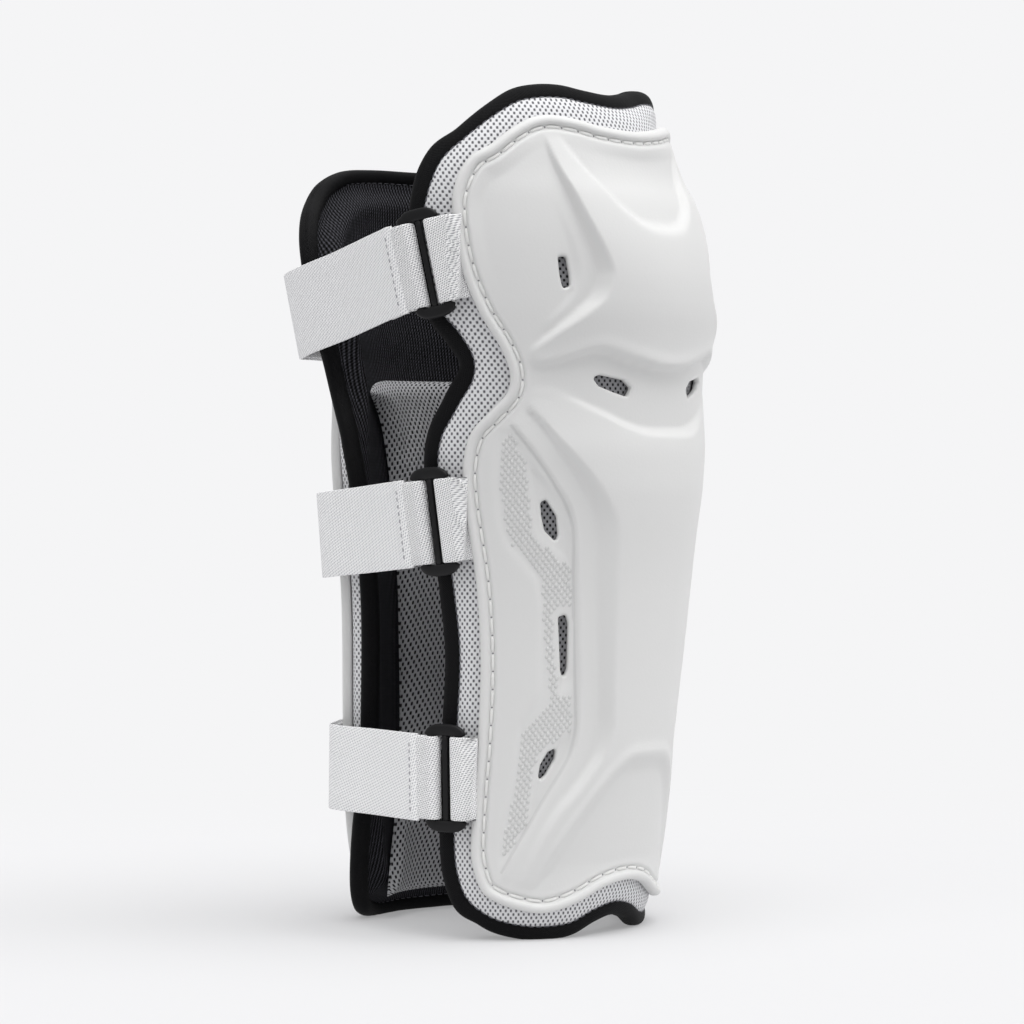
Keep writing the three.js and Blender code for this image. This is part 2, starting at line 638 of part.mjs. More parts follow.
// The short end that holds the ring: from the shell's rim, over the ring's bar and back under it
function makeAnchor(strap, sheet) {
  const degree = radiusAt(strap.height) * RADIANS;
  const rimEnd = (strap.rimTurn - strap.turn) * degree - 2 * CLEAR;
  return makeRibbon(
    strap, sheet,
    [
      [rimEnd, 0],
      [barAt + ANCHOR_ROUTE.rise, ANCHOR_ROUTE.riseOut],
      ...barFold(barAt, -1),
      [barAt + ANCHOR_ROUTE.tail, -FOLD],
    ],
    WEBBING,
  );
}

// The woven elastic: folded round the ring's other bar, then across the gap and round the far edge
function makeStrap(strap, sheet) {
  const end = sheet.toRing - sheet.length;
  const under = -WEBBING - FACET_CLEAR;
  return makeRibbon(
    strap, sheet,
    [
      ...run(-barAt - UNDER_LENGTH, -barAt - STRAP_ROUTE.under, under),
      ...barFold(-barAt, 1).reverse(),
      [-barAt - STRAP_ROUTE.dip, STRAP_ROUTE.dipOut],
      ...run(-barAt - STRAP_ROUTE.level, end + STRAP_ROUTE.spare, 0),
    ],
    WEBBING,
  );
}

// The smooth fastening tab on the outside of the elastic
function makeTab(strap, sheet) {
  const out = WEBBING / 2 + CLEAR + TAB / 2;
  const end = sheet.toRing - sheet.length;
  return makeRibbon(strap, sheet, run(-TAB_START, end + STRAP_ROUTE.spare, out), TAB);
}

// The plastic ring: two upright bars and two boat-shaped ends
function makeRing(strap) {
  const { bar, thick } = RING;
  const side = RING.width / 2;
  const beam = RING.capWidth / 2;
  const end = RING.height / 2;
  const window = STRAP_WIDTH / 2 + 2 * CLEAR;
  const cap = window - BOAT.shoulder;
  const neck = window - BOAT.neck;
  const outline = new THREE.Shape();
  outline.moveTo(-side, -neck);
  outline.lineTo(-beam, -cap);
  outline.quadraticCurveTo(-beam + BOAT.flare, -end, -beam + BOAT.bow, -end);
  outline.lineTo(beam - BOAT.bow, -end);
  outline.quadraticCurveTo(beam - BOAT.flare, -end, beam, -cap);
  outline.lineTo(side, -neck);
  outline.lineTo(side, neck);
  outline.lineTo(beam, cap);
  outline.quadraticCurveTo(beam - BOAT.flare, end, beam - BOAT.bow, end);
  outline.lineTo(-beam + BOAT.bow, end);
  outline.quadraticCurveTo(-beam + BOAT.flare, end, -beam, cap);
  outline.lineTo(-side, neck);
  const hole = new THREE.Path();
  hole.moveTo(-side + bar, -window);
  hole.lineTo(-side + bar, window);
  hole.lineTo(side - bar, window);
  hole.lineTo(side - bar, -window);
  outline.holes.push(hole);
  const plate = new THREE.ExtrudeGeometry(outline, { depth: thick, bevelEnabled: false, curveSegments: 4 });
  plate.translate(0, 0, -thick / 2);
  plate.rotateZ(strap.slope * RADIANS);
  return plate.rotateX(Math.PI / 2);
}

// Assembly

const material = (color, roughness) => new THREE.MeshStandardMaterial({ color, roughness, metalness: 0 });
const FINISHES = {
  shell: material(0xeeeeec, 0.45),
  mesh: material(0xe6e6e6, 0.9),
  lining: material(0x17171a, 0.9),
  cushion: material(0xa9a9ad, 0.9),
  binding: material(0x151517, 0.8),
  webbing: material(0xf2f2f2, 0.85),
  tab: material(0xf4f4f4, 0.8),
  ring: material(0x161616, 0.4),
};

const guard = new THREE.Group();
const add = (name, geometry, finish) => {
  const mesh = new THREE.Mesh(geometry, FINISHES[finish].clone());
  mesh.name = name;
  guard.add(mesh);
  return mesh;
};

add("shell", makeShell(), "shell");
add("pad", makeLayer(PAD_TOP, PAD_WALL, EDGE_DROP), "mesh");
add("lining", makeLayer(LINING_TOP, LINING_WALL, 0), "lining");
add("cushion", makeCushion(), "cushion");
add("binding", makeBinding(), "binding");
for (const [place, strap] of Object.entries(STRAPS)) {
  const sheet = strapLine(strap);
  add(`anchor_${place}`, makeAnchor(strap, sheet), "webbing");
  add(`strap_${place}`, makeStrap(strap, sheet), "webbing");
  add(`tab_${place}`, makeTab(strap, sheet), "tab");
  const ring = add(`ring_${place}`, makeRing(strap), "ring");
  const share = sheet.toRing / sheet.length;
  const tangent = sheet.line.getTangentAt(share);
  ring.position.copy(sheet.line.getPointAt(share)).setZ(strap.height);
  ring.rotation.set(Math.atan(strap.lean), 0, Math.atan2(-tangent.y, -tangent.x), "ZXY");
}

export default guard;
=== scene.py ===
# %% [markdown]
# # An elbow and forearm guard
# The guard is a moulded white shell sewn to a padded sleeve. The sleeve is open along one side, its
# edge is bound with black tape, a soft cushion lies inside it and three elastic straps close it.
# The CAD model has set every piece's place and size. This scene draws the same pieces finer: each is
# a surface worked out with numpy on the same sleeve, so that it lands where the CAD piece is.

# %% Load the CAD frame
from collections import namedtuple

import bpy
import numpy as np
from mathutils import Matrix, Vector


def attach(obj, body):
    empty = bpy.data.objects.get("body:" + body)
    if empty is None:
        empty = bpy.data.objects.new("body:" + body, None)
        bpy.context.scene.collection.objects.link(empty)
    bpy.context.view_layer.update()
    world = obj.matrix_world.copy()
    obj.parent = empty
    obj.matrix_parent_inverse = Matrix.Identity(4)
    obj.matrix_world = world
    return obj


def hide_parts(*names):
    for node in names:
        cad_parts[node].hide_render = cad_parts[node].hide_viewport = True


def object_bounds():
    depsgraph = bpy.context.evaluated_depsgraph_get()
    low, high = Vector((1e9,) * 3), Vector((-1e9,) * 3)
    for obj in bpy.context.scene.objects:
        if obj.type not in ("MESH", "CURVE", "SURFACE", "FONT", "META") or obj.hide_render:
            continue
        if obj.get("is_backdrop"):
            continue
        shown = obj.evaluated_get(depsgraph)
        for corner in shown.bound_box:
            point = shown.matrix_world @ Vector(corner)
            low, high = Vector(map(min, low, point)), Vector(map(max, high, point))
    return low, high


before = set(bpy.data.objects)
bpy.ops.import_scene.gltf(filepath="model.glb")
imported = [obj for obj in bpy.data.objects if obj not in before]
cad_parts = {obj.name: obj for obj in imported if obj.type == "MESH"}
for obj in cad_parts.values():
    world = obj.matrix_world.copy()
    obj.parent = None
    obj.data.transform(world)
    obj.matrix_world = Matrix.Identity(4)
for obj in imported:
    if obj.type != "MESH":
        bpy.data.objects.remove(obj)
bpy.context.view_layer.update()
MM = 0.001  # sizes below are in millimetres, Blender works in metres
RAD = np.pi / 180

# %% [markdown]
# ## Tables and curves
# A moulded part has few straight lines, so its shape is kept in short tables. A cubic through a
# table's rows gives a smooth value anywhere, and a Catmull-Rom spline gives a smooth line through a
# list of points. Both work on whole arrays, which is what makes fine meshes quick to build.


# %% Tables and curves
def cubic(t, start, start_slope, end, end_slope):
    """Cubic from start at t = 0 to end at t = 1, leaving and arriving with the given slopes."""
    return (
        (2 * t**3 - 3 * t**2 + 1) * start
        + (t**3 - 2 * t**2 + t) * start_slope
        + (3 * t**2 - 2 * t**3) * end
        + (t**3 - t**2) * end_slope
    )


def table_at(table, x):
    """Columns of a table at x: a cubic between two rows, whose slope at a row is its neighbours'."""
    table = np.asarray(table, float)
    place, value = table[:, 0], table[:, 1:]
    row = np.arange(len(place))
    before, after = np.maximum(row - 1, 0), np.minimum(row + 1, len(place) - 1)
    slope = (value[after] - value[before]) / (place[after] - place[before])[:, None]
    x = np.clip(np.asarray(x, float), place[0], place[-1])
    i = np.clip(np.searchsorted(place, x, side="right") - 1, 0, len(place) - 2)
    span = (place[i + 1] - place[i])[..., None]
    t = (x - place[i])[..., None] / span
    return np.moveaxis(cubic(t, value[i], span * slope[i], value[i + 1], span * slope[i + 1]), -1, 0)


def step(x, low, high):
    """Smooth step: 0 at low, 1 at high, level at both ends."""
    t = np.clip((x - low) / (high - low), 0, 1)
    return t * t * (3 - 2 * t)


def ramp(x, low, high, rounding=0.3):
    """Straight rise from 0 at low to 1 at high, with a round bend at each end."""
    t = np.clip((x - low) / (high - low), 0, 1)
    near = np.minimum(t, 1 - t)
    bend = near**2 / (2 * rounding * (1 - rounding))
    line = (near - rounding / 2) / (1 - rounding)
    rise = np.where(near < rounding, bend, line)
    return np.where(t < 0.5, rise, 1 - rise)


def hump(x, middle, spread):
    """Bell of height 1 round the middle, which falls to 1/e at the spread."""
    return np.exp(-(((x - middle) / spread) ** 2))


def spline(points, per_span, closed=False):
    """Centripetal Catmull-Rom line through the points, with per_span steps between two of them."""
    p = np.asarray(points, float)
    if closed:
        q = [np.roll(p, k, axis=0) for k in (1, 0, -1, -2)]
    else:
        ends = np.vstack([2 * p[0] - p[1], p, 2 * p[-1] - p[-2]])
        q = [ends[:-3], ends[1:-2], ends[2:-1], ends[3:]]
    d = [np.sqrt(np.linalg.norm(b - a, axis=1))[:, None, None] for a, b in zip(q[:-1], q[1:])]
    p0, p1, p2, p3 = (a[:, None] for a in q)
    start = (p1 - p0) / d[0] - (p2 - p0) / (d[0] + d[1]) + (p2 - p1) / d[1]
    end = (p2 - p1) / d[1] - (p3 - p1) / (d[1] + d[2]) + (p3 - p2) / d[2]
    t = np.linspace(0, 1, per_span, endpoint=False)[None, :, None]
    line = cubic(t, p1, d[1] * start, p2, d[1] * end).reshape(-1, p.shape[1])
    return line if closed else np.vstack([line, p[-1:]])


def closed_up(line):
    """A line with its first point again at its end."""
    return np.vstack([line, line[:1]])


def circle(count):
    """Evenly spaced angles of a full turn."""
    return np.arange(count) * 2 * np.pi / count


def unit(vectors):
    """Vectors divided by their lengths."""
    return vectors / np.linalg.norm(vectors, axis=-1, keepdims=True)


def paired(one, other):
    """Two arrays as one array of pairs, each spread to the shape of both."""
    return np.stack(np.broadcast_arrays(one, other), axis=-1)


def lengths(line):
    """Length along a line up to each of its points."""
    return np.concatenate([[0], np.cumsum(np.linalg.norm(np.diff(line, axis=0), axis=1))])


def along(line, distance):
    """Points of a line at distances from its start."""
    at = lengths(line)
    return np.stack([np.interp(distance, at, c) for c in line.T], axis=-1)


def shares(count, density):
    """count + 1 shares from 0 to 1, closer together where the density table is higher."""
    x = np.linspace(0, 1, 2001)
    grown = np.cumsum(np.interp(x, *np.array(density, float).T))
    return np.interp(np.linspace(0, 1, count + 1), (grown - grown[0]) / (grown[-1] - grown[0]), x)


# %% [markdown]
# ## The sleeve
# Everything lies on one tapering sleeve. A place on it is a turn in degrees, counted from the front
# towards +X, and a height; a depth counts inwards from the plain outside of the shell. The sections
# below are those of the CAD model.

# %% The sleeve
CENTRE = (2.9, 0.3)  # where the sleeve's axis stands
SHIFT_TURN = 40 * RAD  # direction in which sections lean off the axis
SECTIONS = [  # height, radius, shift
    (-5, 55.4, -2.4), (37, 58.0, -1.6), (73, 60.4, 0.4), (121, 63.2, 2.6), (169, 67.3, 2.6),
    (195, 68.4, 2.2), (224, 72.2, -0.4), (245, 74.0, -2.2), (260, 73.0, -4.0), (272, 70.2, -6.6),
    (286, 65.6, -7.6), (305, 58.5, -8.0),
]  # fmt: skip


def on_sleeve(turn, height, depth=0.0):
    """Point at a turn, height and depth: round the section's centre at its radius less the depth."""
    radius, shift = table_at(SECTIONS, height)
    reach = radius - depth
    x = CENTRE[0] + reach * np.sin(turn * RAD) + shift * np.sin(SHIFT_TURN)
    y = CENTRE[1] - reach * np.cos(turn * RAD) - shift * np.cos(SHIFT_TURN)
    return np.stack([x, y, height + 0 * x], axis=-1)


def split(places):
    """The turns and the heights of places."""
    return np.moveaxis(places, -1, 0)


def degree(height):
    """Millimetres on the sleeve's surface for one degree of turn."""
    return table_at(SECTIONS, height)[0] * RAD


# %% [markdown]
# ## Outlines
# The shell's rim and the bound edge are closed lines on the sleeve. Each is drawn once as a spline,
# cut at its four corners and divided evenly, so that a grid can be stretched between the sides.

# %% Outlines
EDGE = {  # turn and height of points along each side of the bound edge
    "near": [
        (-67.5, 11), (-72.6, 22), (-74.2, 40), (-74, 77), (-73.8, 100), (-76.4, 124), (-80.2, 160),
        (-78.6, 177), (-72, 190), (-66.2, 201), (-68.9, 209.4), (-74, 218), (-76.2, 238), (-75.5, 258),
        (-67.5, 276),
    ],
    "top": [
        (-67.5, 276), (-59.6, 284.4), (-50, 292.5), (-41, 298), (-32, 300), (-22, 300.2),
        (-12, 298.8), (0, 298), (12, 299.4), (22, 301.4), (34, 301.8), (52, 298.4), (78, 289), (108, 281),
        (145, 278.4), (178, 278.2), (191.6, 276.6), (202.4, 271.8), (210.4, 265.4),
    ],
    "far": [
        (215.5, 3.4), (221, 12), (226, 33), (228.6, 60), (229.4, 90), (229.4, 125), (228.4, 156),
        (225, 178), (221.4, 194), (221.8, 206), (224.6, 224), (225.8, 239), (223.4, 250.4), (218, 258.8),
        (210.4, 265.4),
    ],
    "bottom": [
        (-67.5, 11), (-57, 3.6), (-44, 0.2), (-33, -0.5), (-21, 0.6), (-10, 4.6), (0, 6.4), (10, 4.6),
        (21, 0.6), (33, -0.5), (48, 0.4), (80, 2.2), (115, 2), (150, 0), (180, -0.5), (203, -0.4),
        (215.5, 3.4),
    ],
}  # fmt: skip
RIM = {  # the same for the shell's rim
    "near": [
        (-57.5, 17.5), (-61.2, 28), (-61.5, 43), (-60.7, 72), (-60.8, 96), (-62.9, 126), (-65.8, 152),
        (-66.2, 165), (-63.4, 178), (-57.4, 185.6), (-52.4, 192), (-51.4, 198.5), (-53.4, 207),
        (-58, 218.4), (-61.5, 232), (-63, 247), (-61.8, 261.5), (-55.4, 273.2),
    ],
    "top": [
        (-55.4, 273.2), (-49.7, 277.1), (-43, 283), (-36.8, 286.9), (-31, 288.3), (-22.6, 287.4),
        (-13, 285.2), (0, 284.4), (14, 286), (25, 288), (35, 289.2), (52, 286), (78, 276.8), (108, 269),
        (145, 266), (178, 265.4), (189, 263.8), (197, 260),
    ],
    "far": [
        (204.5, 16), (209.6, 25), (214, 40), (217, 62), (218, 95), (218, 125), (216.8, 153),
        (213.2, 176), (209.4, 193), (209.6, 206), (212, 222), (213.4, 237), (211.2, 247.4), (205.6, 255),
        (197, 260),
    ],
    "bottom": [
        (-57.5, 17.5), (-53, 14.2), (-44.5, 11.2), (-35, 9.8), (-23.3, 12.6), (-11, 17.8), (0, 19.4),
        (11, 17.8), (23.3, 12.6), (35, 9.8), (50, 10.4), (80, 12.4), (115, 12), (150, 10.4),
        (180, 10), (197, 11.2), (204.5, 16),
    ],
}  # fmt: skip
SPAN_STEPS = 40  # steps of an outline's spline between two points


def loop_of(outline, column_shares, row_shares):
    """The outline as one closed ring of points, anticlockwise seen from outside."""
    near, top, far, bottom = (np.array(outline[k], float) for k in ("near", "top", "far", "bottom"))
    corners = np.cumsum([0, len(bottom) - 1, len(far) - 1, len(top) - 1, len(near) - 1])
    line = spline(np.vstack([bottom[:-1], far[:-1], top[:0:-1], near[:0:-1]]), SPAN_STEPS, closed=True)
    line = closed_up(line)
    forth, back = (column_shares, row_shares), (1 - column_shares[::-1], 1 - row_shares[::-1])
    parts = []
    for k, share in enumerate([*forth, *back]):
        side = line[corners[k] * SPAN_STEPS : corners[k + 1] * SPAN_STEPS + 1]
        parts.append(along(side, share * lengths(side)[-1])[:-1])
    return np.vstack(parts)


def inset(loop, distance):
    """The loop moved inwards over the sleeve's surface by a distance, or by a column of distances."""
    turn, height = split(np.roll(loop, -1, axis=0) - np.roll(loop, 1, axis=0))
    mm = degree(loop[:, 1])
    length = np.hypot(turn * mm, height)
    return loop + np.stack([-height / length / mm, turn * mm / length], axis=-1) * distance


def fill(loop, column_shares, row_shares):
    """Grid of places inside a loop: a Coons patch, the two ruled sheets less the corners' share."""
    columns, rows = len(column_shares) - 1, len(row_shares) - 1
    ring = closed_up(loop)
    bottom, far = ring[: columns + 1], ring[columns : columns + rows + 1]
    top, near = ring[columns + rows : 2 * columns + rows + 1][::-1], ring[2 * columns + rows :][::-1]
    s, t = column_shares[None, :, None], row_shares[:, None, None]
    return (
        (1 - t) * bottom + t * top + (1 - s) * near[:, None] + s * far[:, None]
        - (1 - s) * (1 - t) * bottom[0] - s * (1 - t) * bottom[-1]
        - (1 - s) * t * top[0] - s * t * top[-1]
    )  # fmt: skip


def distance_to(loop, places):
    """Distance over the sleeve from places to the nearest point of a loop."""
    flat = places.reshape(-1, 2)
    mm = degree(flat[:, 1])
    parts = []
    for part in np.array_split(np.arange(len(flat)), 40):  # in parts, to save memory
        turn = (flat[part, None, 0] - loop[None, :, 0]) * mm[part, None]
        parts.append(np.hypot(turn, flat[part, None, 1] - loop[None, :, 1]).min(axis=1))
    return np.concatenate(parts).reshape(places.shape[:-1])


def within(x, y, corners):
    """Whether points are inside a polygon: how often a level ray from each crosses its sides."""
    a, b = corners, np.roll(corners, -1, axis=0)
    spans = (a[:, 1] > y[..., None]) != (b[:, 1] > y[..., None])
    rise = np.where(b[:, 1] == a[:, 1], 1, b[:, 1] - a[:, 1])
    meet = a[:, 0] + (y[..., None] - a[:, 1]) * (b[:, 0] - a[:, 0]) / rise
    return (spans & (x[..., None] < meet)).sum(axis=-1) % 2 == 1


def outline_distance(turn, height, corners):
    """Distance to a polygon on the sleeve, less than zero inside it."""
    corners = np.array(corners, float)
    mm = degree(corners[:, 1].mean())
    a = corners * (mm, 1)
    edge = np.roll(a, -1, axis=0) - a
    p = np.stack([turn * mm, height], axis=-1)[..., None, :] - a
    share = np.clip((p * edge).sum(-1) / (edge * edge).sum(-1), 0, 1)
    off = np.linalg.norm(p - share[..., None] * edge, axis=-1).min(axis=-1)
    return np.where(within(turn * mm, height, a), -off, off)


# %% [markdown]
# ## From arrays to Blender
# Blender stores a mesh as flat lists: places, the corners of each face and where each face starts.
# Filling those lists straight from numpy is much quicker than adding faces one at a time.


# %% From arrays to Blender
def numbers(shape, first=0):
    """The numbers of a grid's vertices, row by row."""
    return first + np.arange(shape[0] * shape[1]).reshape(shape[:2])


def grid_faces(rows, columns):
    """Quads of a grid of vertices, anticlockwise seen from outside."""
    at = numbers((rows + 1, columns + 1))
    return np.stack([at[:-1, :-1], at[:-1, 1:], at[1:, 1:], at[1:, :-1]], axis=-1).reshape(-1, 4)


def band_faces(rings):
    """Quads between neighbouring closed rings of vertices, each ring a row of numbers."""
    after = np.roll(rings, -1, axis=1)
    return np.stack([rings[:-1], rings[1:], after[1:], after[:-1]], axis=-1).reshape(-1, 4)


def border(rows, columns, first=0):
    """The grid's outer ring of vertices, in the order of loop_of."""
    at = numbers((rows + 1, columns + 1), first)
    return np.concatenate([at[0, :-1], at[:-1, -1], at[-1, :0:-1], at[:0:-1, 0]])


def read(items, key, width, kind=float):
    """A property of all of a mesh's vertices, corners or triangles, one row for each."""
    values = np.empty(len(items) * width, kind)
    items.foreach_get(key, values)
    return values.reshape(-1, width)


made = {}


def make(name, points, faces, material, uv=None, value=None):
    """A mesh object from points in millimetres and lists of triangles or quads; unused points go.

    A value for each point can be kept as the attribute "line" for the material to read.
    """
    used, corner = np.unique(np.concatenate([f.ravel() for f in faces]), return_inverse=True)
    size = np.concatenate([np.full(len(f), f.shape[1]) for f in faces])
    mesh = bpy.data.meshes.new(name)
    mesh.vertices.add(len(used))
    mesh.vertices.foreach_set("co", (points[used] * MM).ravel())
    mesh.loops.add(len(corner))
    mesh.loops.foreach_set("vertex_index", corner.ravel())
    mesh.polygons.add(len(size))
    mesh.polygons.foreach_set("loop_start", np.cumsum(size) - size)
    mesh.polygons.foreach_set("use_smooth", np.ones(len(size), bool))
    mesh.update(calc_edges=True)
    if uv is not None:
        layer = mesh.uv_layers.new(name="cloth")
        layer.uv.foreach_set("vector", uv[used][corner].ravel())
    if value is not None:
        mesh.attributes.new("line", "FLOAT", "POINT").data.foreach_set("value", value[used])
    mesh.materials.append(material)
    obj = bpy.data.objects.new(name, mesh)
    bpy.context.scene.collection.objects.link(obj)
    made[name] = obj
    print(f"{name}: {len(used)} points, {int((size - 2).sum())} triangles")
    return obj


# %% [markdown]
# ## Materials
# Every finish is a procedural shader. Patterns are drawn in millimetres on the cloth's own UV map, so
# a mesh hole or a thread has its real size. One small function adds a node, sets it and links it, and
# a few others name the nodes that come up often.


# %% Material helpers
def colour(hexcode):
    """An sRGB hex colour as the linear RGBA that Blender's sockets take."""
    srgb = np.array([int(hexcode[i : i + 2], 16) for i in (1, 3, 5)]) / 255
    linear = np.where(srgb <= 0.04045, srgb / 12.92, ((srgb + 0.055) / 1.055) ** 2.4)
    return (*linear, 1.0)


def add(tree, kind, settings=None, **sockets):
    """Add a node. Sockets are named, or numbered as i0, i1; a value is set and an output is linked."""
    node = tree.nodes.new("ShaderNode" + kind)
    for key, value in (settings or {}).items():
        setattr(node, key, value)
    for key, value in sockets.items():
        socket = node.inputs[int(key[1:]) if key[1:].isdigit() else key.replace("_", " ")]
        if isinstance(value, bpy.types.NodeSocket):
            tree.links.new(value, socket)
        else:
            socket.default_value = value
    return node.outputs[0]


def finish_of(name, **sockets):
    """A new material with a Principled shader; returns it, its node tree and the shader."""
    material = bpy.data.materials.new(name)
    material.use_nodes = True
    shader = material.node_tree.nodes["Principled BSDF"]
    for key, value in sockets.items():
        shader.inputs[key.replace("_", " ")].default_value = value
    return material, material.node_tree, shader


def math(tree, operation, *values):
    """A Math node's operation on up to three values or outputs."""
    return add(tree, "Math", {"operation": operation}, **{f"i{k}": v for k, v in enumerate(values)})


def blend(tree, share, one, other):
    """One colour where the share is 0, the other where it is 1."""
    return add(tree, "Mix", {"data_type": "RGBA"}, i0=share, i6=one, i7=other).node.outputs[2]


def measure(tree, operation, one, **other):
    """A vector operation that gives a number, such as a length or a dot product."""
    return add(tree, "VectorMath", {"operation": operation}, i0=one, **other).node.outputs["Value"]


def dress(tree, shader, tone=None, **bump):
    """Link a tone to the shader's colour, and a bump of the given sockets to its normal."""
    if tone is not None:
        tree.links.new(tone, shader.inputs["Base Color"])
    if bump:
        tree.links.new(add(tree, "Bump", **bump), shader.inputs["Normal"])


def wave(tree, value, pitch):
    """cos(2 pi value / pitch)."""
    return math(tree, "COSINE", math(tree, "MULTIPLY", value, 2 * np.pi / pitch))


def kept_line(tree):
    """The value that a mesh keeps for each point as its attribute "line"."""
    return add(tree, "Attribute", {"attribute_name": "line"}).node.outputs["Fac"]


def object_place(tree):
    """The point's place in the object's own metres."""
    return add(tree, "TexCoord").node.outputs["Object"]


def cloth_axes(tree):
    """The two coordinates of the cloth's UV map, in millimetres."""
    parts = add(tree, "SeparateXYZ", i0=add(tree, "UVMap", {"uv_map": "cloth"})).node.outputs
    return parts[0], parts[1]


def between(tree, value, low, high):
    """Smooth step of a shader value from low to high."""
    settings = {"interpolation_type": "SMOOTHSTEP"}
    return add(tree, "MapRange", settings, Value=value, From_Min=low, From_Max=high)


# %% [markdown]
# ### Moulded shell
# The shell is moulded plastic. Its white skin is matt and has a fine pebble grain that breaks up its
# highlights. Needle holes along the seam are drawn with the rim's own UV map, as dark dashes of painted
# shade: its first coordinate runs along the rim and its second inwards from it.

# %% Moulded shell
STITCH_PITCH = 6.3  # along the seam
SEAM = 4.4  # middle of the seam, inwards from the shell's rim
NEEDLE_NARROW, NEEDLE_EDGE = 1.6, (0.5, 0.25)  # needle marks are short dashes across the seam, dark as painted shade in the holes
GROOVE_EDGE, GROOVE_SHADE = (0.75, 0.15), 0.16  # half width and darkness of each rail's line: painted shade in the cut
GROOVE_BUMP, WRINKLE_BUMP = -3.0, 0.6  # beside a grain of 1
moulded, tree, shader = finish_of("white moulded shell", Roughness=0.46, Specular_IOR_Level=0.35)
u, v = cloth_axes(tree)
cell = math(tree, "PINGPONG", u, STITCH_PITCH / 2)
across = math(tree, "SUBTRACT", v, SEAM)
spot = add(tree, "CombineXYZ", i0=math(tree, "MULTIPLY", cell, NEEDLE_NARROW), i1=across)
hole = between(tree, measure(tree, "LENGTH", spot), *NEEDLE_EDGE)
groove = between(tree, math(tree, "ABSOLUTE", kept_line(tree)), *GROOVE_EDGE)
# painted shade: the needle holes and the lines cut along the rails are coloured darker
shade = math(tree, "MAXIMUM", hole, math(tree, "MULTIPLY", groove, GROOVE_SHADE))
grain = add(tree, "TexNoise", Vector=object_place(tree), Scale=1100.0, Detail=2.0)
wrinkle = add(tree, "TexNoise", Vector=object_place(tree), Scale=260.0, Detail=3.0, Roughness=0.6)
skin_height = math(tree, "MULTIPLY_ADD", wrinkle, WRINKLE_BUMP, grain)
skin_height = math(tree, "MULTIPLY_ADD", groove, GROOVE_BUMP, skin_height)
dress(
    tree, shader, blend(tree, shade, colour("#d9d9d8"), colour("#77777a")),
    Strength=0.35, Distance=0.00012, Height=skin_height,
)  # fmt: skip

# %% [markdown]
# ### Spacer mesh
# The sleeve's cover is a knitted spacer mesh: rows of small oval holes, each row set half a pitch off
# the next. The product of two cosines has its peaks in just that staggered pattern, so it gives both
# the holes, coloured dark as painted shade inside them, and the dimples around them.

# %% Spacer mesh
MESH_PITCH, CUSHION_PITCH = (2.25, 2.65), (2.2, 3.4)  # along the cloth and across it
UNDER_SHELL_SHADE_YARN, UNDER_SHELL_SHADE_HOLE = "#98989b", "#0e0e10"  # painted shade: mesh under the shell, seen through the slots, is coloured darker


def mesh_cloth(name, thread, hole, rough, pitch, low, high, depth):
    """A knitted mesh: staggered oval holes where cos(u) cos(v) is above low, with painted shade in them
    above high.
    """
    material, tree, shader = finish_of(name, Roughness=rough, Specular_IOR_Level=0.2, Sheen_Weight=0.15)
    u, v = cloth_axes(tree)
    cross = math(tree, "MULTIPLY", wave(tree, u, pitch[0]), wave(tree, v, pitch[1]))
    mask = between(tree, cross, low, high)
    # painted shade: where the mesh lies under the shell (its attribute "line"), yarn and holes are coloured
    # darker
    yarn = blend(tree, kept_line(tree), colour(thread), colour(UNDER_SHELL_SHADE_YARN))
    # painted shade: the holes are coloured dark for the shade inside them
    shade = blend(tree, kept_line(tree), colour(hole), colour(UNDER_SHELL_SHADE_HOLE))
    sunk = math(tree, "MULTIPLY", mask, -1.0)
    dress(tree, shader, blend(tree, mask, yarn, shade), Strength=0.7, Distance=depth, Height=sunk)
    return material


spacer_mesh = mesh_cloth(
    "white spacer mesh", "#e2e2e4", "#5c5c60", rough=0.85,
    pitch=MESH_PITCH, low=-0.1, high=0.85, depth=0.0003,
)  # fmt: skip
grey_mesh = mesh_cloth(
    "grey cushion mesh", "#b2b2b5", "#19191b", rough=0.9,
    pitch=CUSHION_PITCH, low=-0.1, high=0.7, depth=0.0005,
)  # fmt: skip

# %% [markdown]
# ### Black lining and binding
# The lining is a ribbed black knit: narrow upright ribs crossed by slanting stitches, with a painted
# highlight where they stand highest. The binding is a smooth knitted tape, folded over the edge, with a soft
# sheen.

# %% Black lining and binding
RIB_PITCH, STITCH_ACROSS, TAPE_PITCH = 1.45, 1.2, 0.9  # coarser than the real knits, so that they show
STITCH_SLANT, STITCH_SHARE, KNIT_TONE = 0.8, 0.45, (-0.9, 1.2)
black_knit, tree, shader = finish_of("black ribbed lining", Roughness=0.8, Specular_IOR_Level=0.12)
u, v = cloth_axes(tree)
slant = math(tree, "MULTIPLY_ADD", u, STITCH_SLANT, v)
stitch = wave(tree, slant, STITCH_ACROSS)
ribs = math(tree, "MULTIPLY_ADD", stitch, STITCH_SHARE, wave(tree, u, RIB_PITCH))
# painted highlight: the knit is coloured lighter where its ribs and stitches stand highest
knit = blend(tree, between(tree, ribs, *KNIT_TONE), colour("#050506"), colour("#4c4c52"))
dress(tree, shader, knit, Strength=0.8, Distance=0.0005, Height=ribs)

black_tape, tree, shader = finish_of(
    "black knitted tape", Base_Color=colour("#09090b"), Roughness=0.6, Specular_IOR_Level=0.12
)
u, v = cloth_axes(tree)
wale = math(tree, "MULTIPLY", wave(tree, u, TAPE_PITCH), wave(tree, v, TAPE_PITCH))
dress(tree, shader, Strength=0.5, Distance=0.0002, Height=wale)

# %% [markdown]
# ### Straps, thread and rings
# The straps are woven elastic: slanting ribs with a fine cross thread. The fastening tab is a closer
# brushed weave. Thread is white on the shell, grey on the tabs and black on the binding. The rings
# are black nylon with a satin skin.

# %% Straps, thread and rings
WEAVE_TONE = (-0.9, 0.3)  # the weave's light is full above the second of these


